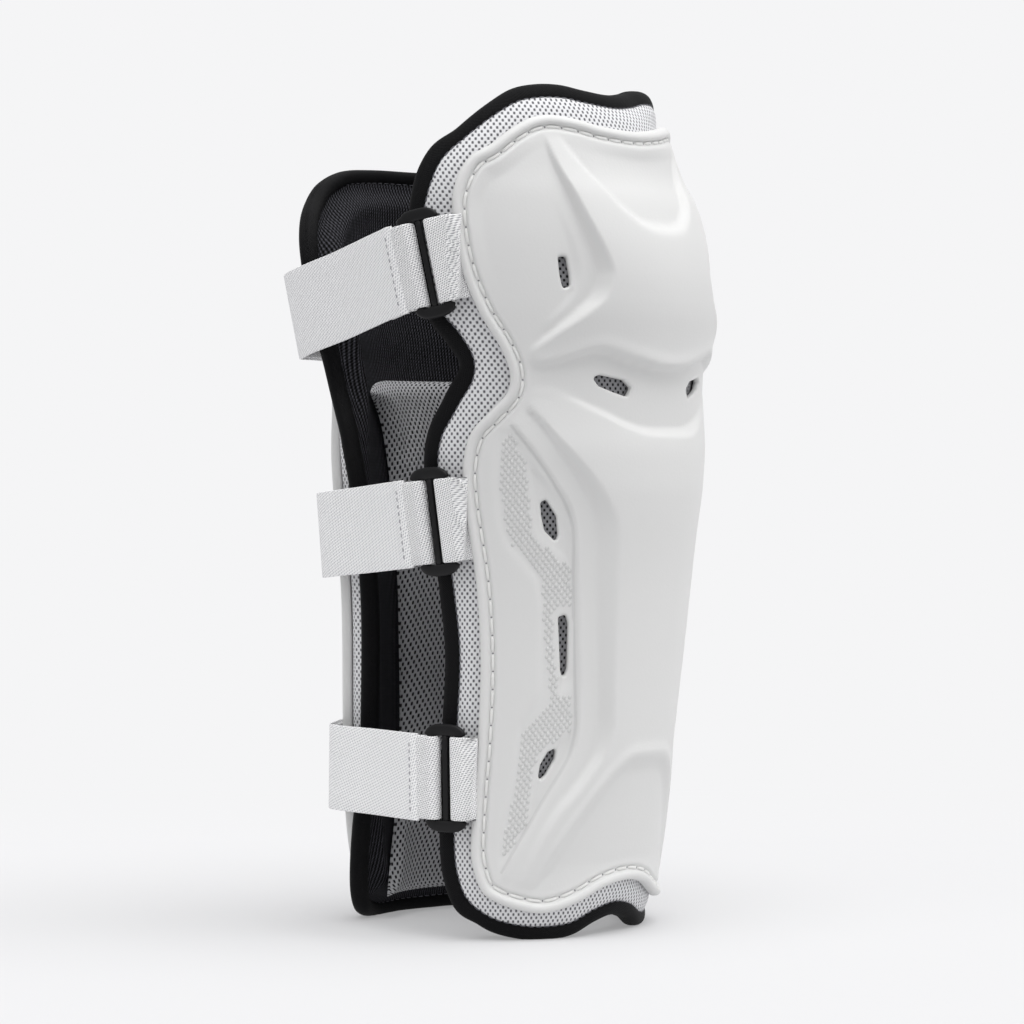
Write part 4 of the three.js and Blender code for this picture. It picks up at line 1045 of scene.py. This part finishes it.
tape_loop = loop_of(EDGE, TAPE_COLUMNS, TAPE_ROWS)
ring = circle(TAPE_SIDES)
tape_in = BINDING_WIDTH / 2 * (1 - squared(np.cos(ring), TAPE_POWER))
tape_depth = BINDING_HALF * squared(np.sin(ring), TAPE_POWER)
tape_more = NEAR_TAPE * (1 - step(tape_loop[:, 0], *NEAR_TURN))
tape_places = inset(tape_loop, (tape_in[:, None] * (1 + tape_more / BINDING_WIDTH) - tape_more)[..., None])
tape = on_sleeve(*split(tape_places), edge_depth(tape_loop) + tape_depth[:, None])
tape[..., 2] = np.maximum(tape[..., 2], 0)
tape_uv = paired(lengths(closed_up(tape[0]))[:-1], (ring * TAPE_ROUND)[:, None])
tape_faces = band_faces(closed_up(numbers(tape.shape)))
make("edge_binding", tape.reshape(-1, 3), [tape_faces], black_tape, uv=tape_uv.reshape(-1, 2))
row = closed_up(inset(tape_loop, ROW_IN))
for name, facing in [("binding_stitches_outer", 1), ("binding_stitches_inner", -1)]:
    depth = edge_depth(row) - facing * BINDING_HALF * ROW_SHARE
    line = on_sleeve(*split(row), depth)
    outward = facing * (line - on_sleeve(*split(row), depth + WELL_INSIDE))
    sew(name, line, outward, ROW_PITCH, share=0.9, radius=0.28, material=black_thread)

# %% [markdown]
# ## Cushion
# A soft mesh cushion lines the forearm. It starts as a flat pad on the lining. A short cloth
# simulation blows it up: its back and its edge are pinned, pressure pushes its face into the sleeve,
# and the result is kept as the mesh. How far any point may move is capped.

# %% Cushion
CUSHION_TOP, CUSHION_WALL = 13.3, 4.6
CUSHION_LOW, CUSHION_HIGH, CUSHION_EDGE = 8.2, 198.5, 0.5
CUSHION_FAR = [  # height, turn: the far side pulls in between its corners
    (8, 214.5), (13, 209.5), (25, 202), (37, 196.5), (72, 191.5), (103, 192.5), (126, 192.5), (160, 192.5),
    (174, 194.5), (184, 198.5), (191, 205), (198.5, 213),
]  # fmt: skip
CUSHION_NEAR = [(8, -62), (25, -57), (60, -56), (150, -58), (185, -58), (198.5, -59)]
CUSHION_COLUMNS, CUSHION_ROWS = 72, 60
TOP_DROP, CORNER_FROM, CORNER_PART, CORNER_POWER = 5.0, 0.8, 0.2, 2.4  # the top's corners are lower
MARGIN, MARGIN_DEGREE = 7, 0.85  # width of the rounded border, millimetres in a degree there
PRESSURE, STIFFNESS, BENDING, FRAMES = 4.0, 20, 1.5, 20
MOST = 4.5  # how far a point may move


def cushion_places(columns, rows):
    """A grid between the near and far side's turns at each height, closer towards its border."""
    close = [(0, 4), (0.05, 1), (0.95, 1), (1, 4)]
    s, t = shares(columns, close)[None, :], shares(rows, close)[:, None]
    corner = np.clip((np.abs(2 * s - 1) - CORNER_FROM) / CORNER_PART, 0, 1)
    top = CUSHION_HIGH - TOP_DROP * corner**CORNER_POWER
    height = CUSHION_LOW + (top - CUSHION_LOW) * t
    near, far = table_at(CUSHION_NEAR, height)[0], table_at(CUSHION_FAR, height)[0]
    return paired(near + (far - near) * s, height)


cushion_grid = cushion_places(CUSHION_COLUMNS, CUSHION_ROWS)
turn, height = split(cushion_grid)
from_side = np.minimum(turn - turn[:, :1], turn[:, -1:] - turn)
from_end = np.minimum(height - CUSHION_LOW, height[-1:] - height)
margin = np.clip(np.minimum(from_side * MARGIN_DEGREE / MARGIN, from_end / MARGIN), 0, 1)
thick = CUSHION_EDGE + (CUSHION_WALL - CUSHION_EDGE) * np.sqrt(1 - (1 - margin) ** 2)
cushion = make_layer("mesh_cushion", cushion_grid, CUSHION_TOP + 0 * thick, CUSHION_TOP + thick, grey_mesh)
held = cushion.vertex_groups.new(name="held")
half = turn.size
rim = border(CUSHION_ROWS, CUSHION_COLUMNS, half)
held.add(np.concatenate([np.arange(half), rim]).tolist(), 1.0, "REPLACE")
cloth = cushion.modifiers.new("cloth", "CLOTH")
cloth.settings.use_pressure = True
cloth.settings.uniform_pressure_force = PRESSURE
cloth.settings.vertex_group_mass = "held"
cloth.settings.effector_weights.gravity = 0
cloth.settings.tension_stiffness = cloth.settings.compression_stiffness = STIFFNESS
cloth.settings.bending_stiffness = BENDING
cloth.point_cache.frame_start, cloth.point_cache.frame_end = 1, FRAMES
for frame_number in range(1, FRAMES + 1):
    bpy.context.scene.frame_set(frame_number)
blown = cushion.evaluated_get(bpy.context.evaluated_depsgraph_get()).data
before, after = (read(mesh.vertices, "co", 3) for mesh in (cushion.data, blown))
moved = (after - before) / MM
size = np.linalg.norm(moved, axis=1, keepdims=True)
moved *= np.minimum(1, MOST / np.maximum(size, 1e-9))
cushion.modifiers.remove(cloth)
bpy.context.scene.frame_set(1)
after = before + moved * MM
cushion.data.vertices.foreach_set("co", after.ravel())
cushion.data.update()
face = after[half:].reshape(*turn.shape, 3) / MM
measured = []  # the cloth's UV map is laid out again, by lengths along the blown-up face
for axis in (1, 0):
    gone = np.linalg.norm(np.diff(face, axis=axis), axis=-1)
    gone = np.concatenate([np.zeros_like(np.take(gone, [0], axis)), np.cumsum(gone, axis)], axis)
    measured.append(gone - np.take(gone, [gone.shape[axis] // 2], axis))
face_uv = np.tile(np.stack(measured, axis=-1).reshape(-1, 2), (2, 1))
corner = read(cushion.data.loops, "vertex_index", 1, int)
cushion.data.uv_layers["cloth"].uv.foreach_set("vector", face_uv[corner].ravel())
smooth = cushion.modifiers.new("smooth", "SUBSURF")
smooth.levels = smooth.render_levels = 1
print(f"cushion blown up by {size.max():.1f} mm at most, {size[half:].mean():.1f} mm on average")

# %% [markdown]
# ## Straps
# A strap is a ribbon in a sheet that runs from the shell's rim, past the ring, straight across the gap
# and round the far edge. The ribbon follows a route in that sheet, with a rounded section. The short
# anchor holds the ring; the long strap folds round the ring's other bar, and a tab is sewn on it.

# %% Straps
Strap = namedtuple("Strap", "turn height slope rim_turn far_turn far_lift lean far_lean")
Sheet = namedtuple("Sheet", "line to_ring to_bend tangent")
STRAPS = {  # ring's turn and height, slope, turn at the shell's rim, turn and lift of the far bend, leans
    "upper": Strap(-71.2, 236.2, 10, -61.8, 219, 6.2, 0.1, 0.19),
    "middle": Strap(-75.6, 147, 5, -65.9, 228, 5.6, 0.085, 0.07),
    "lower": Strap(-71, 57.4, 0, -61.6, 228, 4.4, 0.03, -0.01),
}
STRAP_WIDTH, TAB_WIDTH, WEBBING, TAB = 29.2, 30.8, 1.4, 0.7
RIM_LIFT, RIM_LAP = -1, 5  # the sheet starts this far below the rim and this many degrees inside it
LAP_LIFTS, LAP_STEP = (3.1, 2.9, 2.2, 1.9), 10  # lifts of the lap beyond the far bend, degrees between
RING_LIFT, RING_SWING, RING_FLAT, BAR = 0.8, 8, 10.5, 5.0
FLAT_SHARES = (-1, -0.85, 0, 0.85, 1)  # the sheet is straight beside the ring
PLAN_STEPS, RIM_STEPS, EDGE_POINTS, FACE_POINTS, FOLD_POINTS = 60, 20, 7, 7, 7
FOLD = 2.1  # the webbing's middle line round a bar
RIM_SHORT, RIM_OVER = 0.6, 0.5  # the anchor's route stops short of the rim, its fitted end laps it
FAR_SHORT = 1  # the strap stops short of its sheet's end
OFF_BAR, ANCHOR_OUT, ANCHOR_END = 3, 1.5, 1.6  # the anchor's route beside its bar
UNDER_LENGTH, UNDER_END, UNDER_GAP = 20.0, 5, 0.6  # the strap's end, folded back under it
OVER_BAR, LEVEL_START = (4, 1), 7.5  # the strap's way down from its bar
TAB_START, TAB_LEVEL = 10.6, 6
TAB_NOSE = [(0, -0.5), (1.2, 0), (3, 0.35)]  # behind the tab's start, above its level
TAB_ROW, ROW_MARGIN, ROW_POINTS, ROW_RISE, ROW_ABOVE = 3.2, 2, 40, 0.3, 5  # the tab's row of stitches


def plan_line(strap):
    """Plan of a strap's sheet as a spline, its length up to the ring and the bend, and its tangents."""

    def spot(turn, lift):
        return on_sleeve(turn, strap.height, -lift)[:2]

    ring, far = spot(strap.turn, RING_LIFT), spot(strap.far_turn, strap.far_lift)
    ahead = (strap.turn - RING_SWING) * RAD
    way = np.array([-np.cos(ahead), -np.sin(ahead)])
    start = [spot(strap.rim_turn + lap, RIM_LIFT) for lap in (RIM_LAP, 0)]
    beside = [ring + way * share * RING_FLAT for share in FLAT_SHARES]
    laps = [spot(strap.far_turn - LAP_STEP * (k + 1), lift) for k, lift in enumerate(LAP_LIFTS)]
    line = spline([*start, *beside, (beside[-1] + far) / 2, far, *laps], PLAN_STEPS)
    at = lengths(line)
    to_ring, to_bend = (at[np.argmin(np.linalg.norm(line - place, axis=1))] for place in (ring, far))
    return Sheet(line, to_ring, to_bend, np.gradient(line, at, axis=0))


def on_strap(strap, sheet, run, across, out):
    """Point of a strap: along it from the ring (towards the rim), across it and out of its sheet.

    The strap slopes as far as its bend and is level beyond it.
    """
    line, to_ring, to_bend, tangent = sheet
    slope = strap.slope * RAD
    lean = np.interp(-run, [0, to_bend - to_ring], [strap.lean, strap.far_lean])
    level = run * np.cos(slope) - across * np.sin(slope)
    rise = np.maximum(run, to_ring - to_bend) * np.sin(slope) + across * np.cos(slope)
    at = lengths(line)
    spot = [np.interp(to_ring - level, at, c) for c in line.T]
    way = [np.interp(to_ring - level, at, c) for c in tangent.T]
    off = out + lean * rise
    height = strap.height + rise + 0 * off
    return np.stack([spot[0] - way[1] * off, spot[1] + way[0] * off, height], axis=-1)


def ribbon(name, strap, sheet, route, width, thick, material, per_span=6, fit=None):
    """A flat band with round edges along a route of (run, out) places in a strap's sheet."""
    path = spline(route, per_span)
    way = unit(np.gradient(path, axis=0))
    round_edge = np.linspace(-90, 90, EDGE_POINTS) * RAD
    half, straight = thick / 2, np.linspace(-1, 1, FACE_POINTS + 2)[1:-1]
    x = np.concatenate([width / 2 - half + half * np.cos(round_edge), -straight * (width / 2 - half)])
    y = np.concatenate([half * np.sin(round_edge), np.full(FACE_POINTS, half)])
    x, y = np.concatenate([x, -x]), np.concatenate([y, -y])
    run = path[:, 0, None] - way[:, 1, None] * y
    out = path[:, 1, None] + way[:, 0, None] * y
    across = np.broadcast_to(x, run.shape)
    fitted = run if fit is None else fit(run, across)
    points = on_strap(strap, sheet, fitted, across, out)
    ids = numbers(run.shape)
    uv = paired(lengths(path)[:, None] + run - fitted, x).reshape(-1, 2)
    faces = [band_faces(ids), ids[:1], ids[-1:, ::-1]]
    return make(name, points.reshape(-1, 3), faces, material, uv=uv)


def fold(bar, direction):
    """Half a turn round a ring's bar, from the outer face to the inner one."""
    a = np.linspace(90, -90, FOLD_POINTS) * RAD
    return np.stack([bar + direction * FOLD * np.cos(a), FOLD * np.sin(a)], axis=-1)


def level_run(start, end, out, gap=4.0):
    """Evenly spaced route points at one level."""
    count = max(1, round(abs(end - start) / gap))
    return np.stack([np.linspace(start, end, count + 1), np.full(count + 1, out)], axis=-1)


near_rim = spline(RIM["near"], RIM_STEPS)


def to_rim(strap, sheet, rim_end):
    """A function that stretches an anchor's last part so that its end follows the shell's rim."""
    line, to_ring = sheet.line, sheet.to_ring
    height, slope = strap.height, strap.slope * RAD
    middle = on_sleeve(0.0, height, table_at(SECTIONS, height)[0])
    part = lengths(line) <= to_ring
    bearing = np.arctan2(line[part, 0] - middle[0], middle[1] - line[part, 1]) / RAD

    def fit(run, across):
        z = height + rim_end * np.sin(slope) + across * np.cos(slope)
        wanted = np.interp(z, near_rim[:, 1], near_rim[:, 0])
        level = to_ring - np.interp(wanted, bearing[::-1], lengths(line)[part][::-1])
        target = (level + across * np.sin(slope)) / np.cos(slope) + RIM_OVER
        share = np.clip((run - BAR - OFF_BAR) / (rim_end - BAR - OFF_BAR), 0, 1)
        return run + share * (target - rim_end)

    return fit


sheets = {key: plan_line(strap) for key, strap in STRAPS.items()}
tab_out = (WEBBING + TAB) / 2
for key, strap in STRAPS.items():
    sheet = sheets[key]
    rim_end = (strap.rim_turn - strap.turn) * degree(strap.height) - RIM_SHORT
    far_end = sheet.to_ring - lengths(sheet.line)[-1] + FAR_SHORT
    anchor_route = np.vstack([
        [(rim_end, 0), (BAR + OFF_BAR, ANCHOR_OUT)], fold(BAR, -1), [(BAR + ANCHOR_END, -FOLD)],
    ])  # fmt: skip
    fit = to_rim(strap, sheet, rim_end)
    ribbon(f"anchor_webbing_{key}", strap, sheet, anchor_route, STRAP_WIDTH, WEBBING, webbing, fit=fit)
    strap_route = np.vstack([
        level_run(-BAR - UNDER_LENGTH, -BAR - UNDER_END, -WEBBING - UNDER_GAP), fold(-BAR, 1)[::-1],
        [(-BAR - OVER_BAR[0], OVER_BAR[1])], level_run(-BAR - LEVEL_START, far_end, 0),
    ])  # fmt: skip
    ribbon(f"strap_webbing_{key}", strap, sheet, strap_route, STRAP_WIDTH, WEBBING, webbing, per_span=4)
    tab_nose = [(-TAB_START - run, tab_out + lift) for run, lift in TAB_NOSE]
    tab_route = np.vstack([tab_nose, level_run(-TAB_START - TAB_LEVEL, far_end, tab_out)])
    ribbon(f"fastening_tab_{key}", strap, sheet, tab_route, TAB_WIDTH, TAB, tab_cloth, per_span=4)
    x = np.linspace(-STRAP_WIDTH / 2 + ROW_MARGIN, STRAP_WIDTH / 2 - ROW_MARGIN, ROW_POINTS)
    run = np.full(ROW_POINTS, -TAB_START - TAB_ROW)
    line = on_strap(strap, sheet, run, x, WEBBING / 2 + TAB + ROW_RISE)
    out = on_strap(strap, sheet, run, x, WEBBING / 2 + TAB + ROW_ABOVE) - line
    sew(f"tab_stitches_{key}", line, out, pitch=2.4, share=0.62, radius=0.25, material=grey_thread)

# %% [markdown]
# ## Rings
# Each ring is one moulding: two upright bars for the webbing, a thinner one between them and a
# boat-shaped piece at each end. It is drawn as an oval section between an outer and an inner outline,
# whose points go in pairs; the middle bar is a straight oval rod that ends inside the two boats.

# %% Rings
RING_THICK, RING_SIDES, RING_POWER, QUARTER_STEPS = 2.2, 16, 0.6, 4
CORE, CORE_ROWS = (1.1, 0.7, 15.6), 12  # half width, half thickness and half length of the middle bar
QUARTER = [  # outer x and y, inner x and y
    (6, 0, 4, 0), (6, 8, 4, 8), (6, 13, 4, 13), (6.3, 14.3, 4, 13.9), (7.4, 14.9, 3.95, 14.4),
    (8.1, 15.4, 3.8, 14.7), (7.9, 16.2, 3.4, 14.8), (6.9, 17.4, 2.8, 14.8), (5.2, 18.4, 2, 14.8),
    (3, 18.9, 1.1, 14.8), (0, 19, 0, 14.8),
]  # fmt: skip
first = np.array(QUARTER, float)
second = first[::-1][1:] * (-1, 1, -1, 1)
third = first[1:] * (-1, -1, -1, -1)
fourth = first[::-1][1:-1] * (1, -1, 1, -1)
pairs = spline(np.vstack([first, second, third, fourth]), QUARTER_STEPS, closed=True)
outer, inner = pairs[:, None, :2], pairs[:, None, 2:]
ring = circle(RING_SIDES)
wide, deep = squared(np.cos(ring), RING_POWER), squared(np.sin(ring), RING_POWER)
flat = (outer + inner) / 2 + (outer - inner) / 2 * wide[None, :, None]
stand = np.broadcast_to(RING_THICK / 2 * deep, flat.shape[:2])
ids = numbers(flat.shape).T
core_run, core_out = (np.tile(size, (CORE_ROWS, 1)) for size in (CORE[0] * wide, CORE[1] * deep))
core_across = np.repeat(np.linspace(-CORE[2], CORE[2], CORE_ROWS), len(ring)).reshape(core_run.shape)
core_ids = numbers(core_run.shape, ids.size)
ring_faces = [band_faces(closed_up(ids)), band_faces(core_ids), core_ids[:1], core_ids[-1:, ::-1]]
for key, strap in STRAPS.items():
    points = on_strap(strap, sheets[key], *np.moveaxis(flat, -1, 0), stand).reshape(-1, 3)
    core = on_strap(strap, sheets[key], core_run, core_across, core_out).reshape(-1, 3)
    make(f"nylon_ring_{key}", np.vstack([points, core]), ring_faces, black_nylon)

# %% [markdown]
# ## Faces outwards
# Sections were carried along lines in both directions, so some meshes may be inside out. Blender works
# out normals from the order of a face's corners; the volume's sign tells which meshes to flip.

# %% Faces outwards
for obj in made.values():
    mesh = obj.data
    mesh.calc_loop_triangles()
    co, corners = read(mesh.vertices, "co", 3), read(mesh.loop_triangles, "vertices", 3, int)
    a, b, c = np.moveaxis(co[corners] - co.mean(axis=0), 1, 0)
    if (a * np.cross(b, c)).sum() < 0:
        mesh.flip_normals()
        print("turned", obj.name)

# %% [markdown]
# ## Studio
# The guard stands on a white sheet that runs back into an evenly lit white screen; the sheet glows, as
# painted light that lifts the guard's shadow on it. Most of the light comes from above, as from a large
# lamp behind cloth; a weaker one stands at the right and a fill at the left. The camera stands where the
# photographer's did, at the guard's middle height, with a long lens.

# %% Studio
AZIMUTH = -50  # where the camera stands
FLOOR_RADII, FLOOR_SIDES = (600, 3000, 14000), 64
SHEET_MIDDLE, SHEET_SHADE = 0.25, (0.5, 0.75)  # metres; beyond this reach of its middle it is darker
GLOW_BEHIND, LEAST_GLOW = (0.12, 0.5), 0.3  # painted light: it glows behind the guard, and a little everywhere, lifting its shadow
SCREEN_SECTOR, SCREEN_TOP = (0.75, 0.88), (0.28, 0.16)  # how far round and how high the screen is
backdrop, grey_paper = colour("#f5f5f6"), colour("#cfcfd0")
backwards = (-np.sin(AZIMUTH * RAD), np.cos(AZIMUTH * RAD), 0)
spin = circle(FLOOR_SIDES)
floor_ring = np.stack([np.cos(spin), np.sin(spin), 0 * spin], axis=-1)
floor_points = np.vstack([floor_ring * radius for radius in FLOOR_RADII])
ids = numbers((len(FLOOR_RADII), FLOOR_SIDES))
paper, tree, shader = finish_of(
    "white paper sheet", Roughness=1.0, Specular_IOR_Level=0.0, Emission_Color=backdrop
)
place = object_place(tree)
reach = measure(tree, "DISTANCE", place, i1=tuple(SHEET_MIDDLE * np.array(backwards)))
glow = between(tree, measure(tree, "DOT_PRODUCT", place, i1=backwards), *GLOW_BEHIND)
glow = math(tree, "MAXIMUM", glow, LEAST_GLOW)
sheet_tone = blend(tree, between(tree, reach, *SHEET_SHADE), grey_paper, colour("#8c8c8e"))
dress(tree, shader, blend(tree, glow, sheet_tone, colour("#000000")))
# painted light: the sheet glows, so the guard's shadow on it is lifted
tree.links.new(glow, shader.inputs["Emission Strength"])
floor = make("studio_floor", floor_points, [band_faces(ids), ids[:1]], paper)
made.pop("studio_floor")
floor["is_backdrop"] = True

LAMPS = {  # strength, width, tilt from straight above and where from, all three in degrees
    "overhead_lamp": (2.12, 56, 14, 0),
    "right_lamp": (0.55, 50, 60, 40),
    "left_fill": (0.45, 60, 40, -80),
}
for name, (strength, width, tilt, bearing) in LAMPS.items():
    lamp = bpy.data.lights.new(name, "SUN")
    lamp.energy, lamp.angle = strength, width * RAD
    lamp_object = bpy.data.objects.new(name, lamp)
    lamp_object.rotation_euler = (tilt * RAD, 0, bearing * RAD)
    bpy.context.scene.collection.objects.link(lamp_object)

world = bpy.data.worlds.new("studio")
bpy.context.scene.world = world
world.use_nodes = True
tree = world.node_tree
direction = add(tree, "TexCoord")
upwards = add(tree, "SeparateXYZ", i0=direction).node.outputs[2]
back = measure(tree, "DOT_PRODUCT", direction, i1=backwards)
screen = math(tree, "MULTIPLY", between(tree, back, *SCREEN_SECTOR), between(tree, upwards, *SCREEN_TOP))
wall = blend(tree, screen, grey_paper, backdrop)
tree.links.new(wall, tree.nodes["Background"].inputs["Color"])

DISTANCE, EYE_HEIGHT, SIDEWAYS, PITCH = 1225, 165, 1.1, -0.718
LENS, SENSOR = 117.8, 36
sight = AZIMUTH * RAD
right = np.array([np.cos(sight), np.sin(sight)])
camera = bpy.data.cameras.new("camera")
camera.lens, camera.sensor_width = LENS, SENSOR
camera_object = bpy.data.objects.new("camera", camera)
bpy.context.scene.collection.objects.link(camera_object)
eye = np.array(CENTRE) + DISTANCE * np.array([np.sin(sight), -np.cos(sight)]) + SIDEWAYS * right
camera_object.location = (eye[0] * MM, eye[1] * MM, EYE_HEIGHT * MM)
camera_object.rotation_euler = ((90 + PITCH) * RAD, 0, sight)
bpy.context.scene.camera = camera_object
bpy.context.scene.view_settings.view_transform = "Standard"

# %% [markdown]
# ## Pieces on the body
# Every piece rides on the guard's one body and stands in for the CAD piece it draws.

# %% Pieces on the body
STANDS_FOR = {
    "moulded_shell": ["shell"], "spacer_pad": ["pad"], "black_lining": ["lining"],
    "mesh_cushion": ["cushion"], "edge_binding": ["binding"],
}  # fmt: skip
SLOT_OF = {
    "moulded_shell": "moulded_shell", "grip_dots": "moulded_shell", "seam_stitches": "moulded_shell",
    "spacer_pad": "spacer_mesh", "black_lining": "black_lining", "mesh_cushion": "grey_mesh",
    "edge_binding": "black_binding", "binding_stitches_outer": "black_binding",
    "binding_stitches_inner": "black_binding",
}  # fmt: skip
for key in STRAPS:
    STANDS_FOR[f"anchor_webbing_{key}"] = [f"anchor_{key}"]
    STANDS_FOR[f"strap_webbing_{key}"] = [f"strap_{key}"]
    STANDS_FOR[f"fastening_tab_{key}"] = [f"tab_{key}"]
    STANDS_FOR[f"nylon_ring_{key}"] = [f"ring_{key}"]
    SLOT_OF[f"anchor_webbing_{key}"] = SLOT_OF[f"strap_webbing_{key}"] = "white_webbing"
    SLOT_OF[f"fastening_tab_{key}"] = SLOT_OF[f"tab_stitches_{key}"] = "white_tab"
    SLOT_OF[f"nylon_ring_{key}"] = "black_nylon"
for name, obj in made.items():
    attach(obj, "root")
    if name in STANDS_FOR:
        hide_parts(*STANDS_FOR[name])

low, high = (list(corner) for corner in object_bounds())
print("visual box", np.round(low, 4), np.round(high, 4))
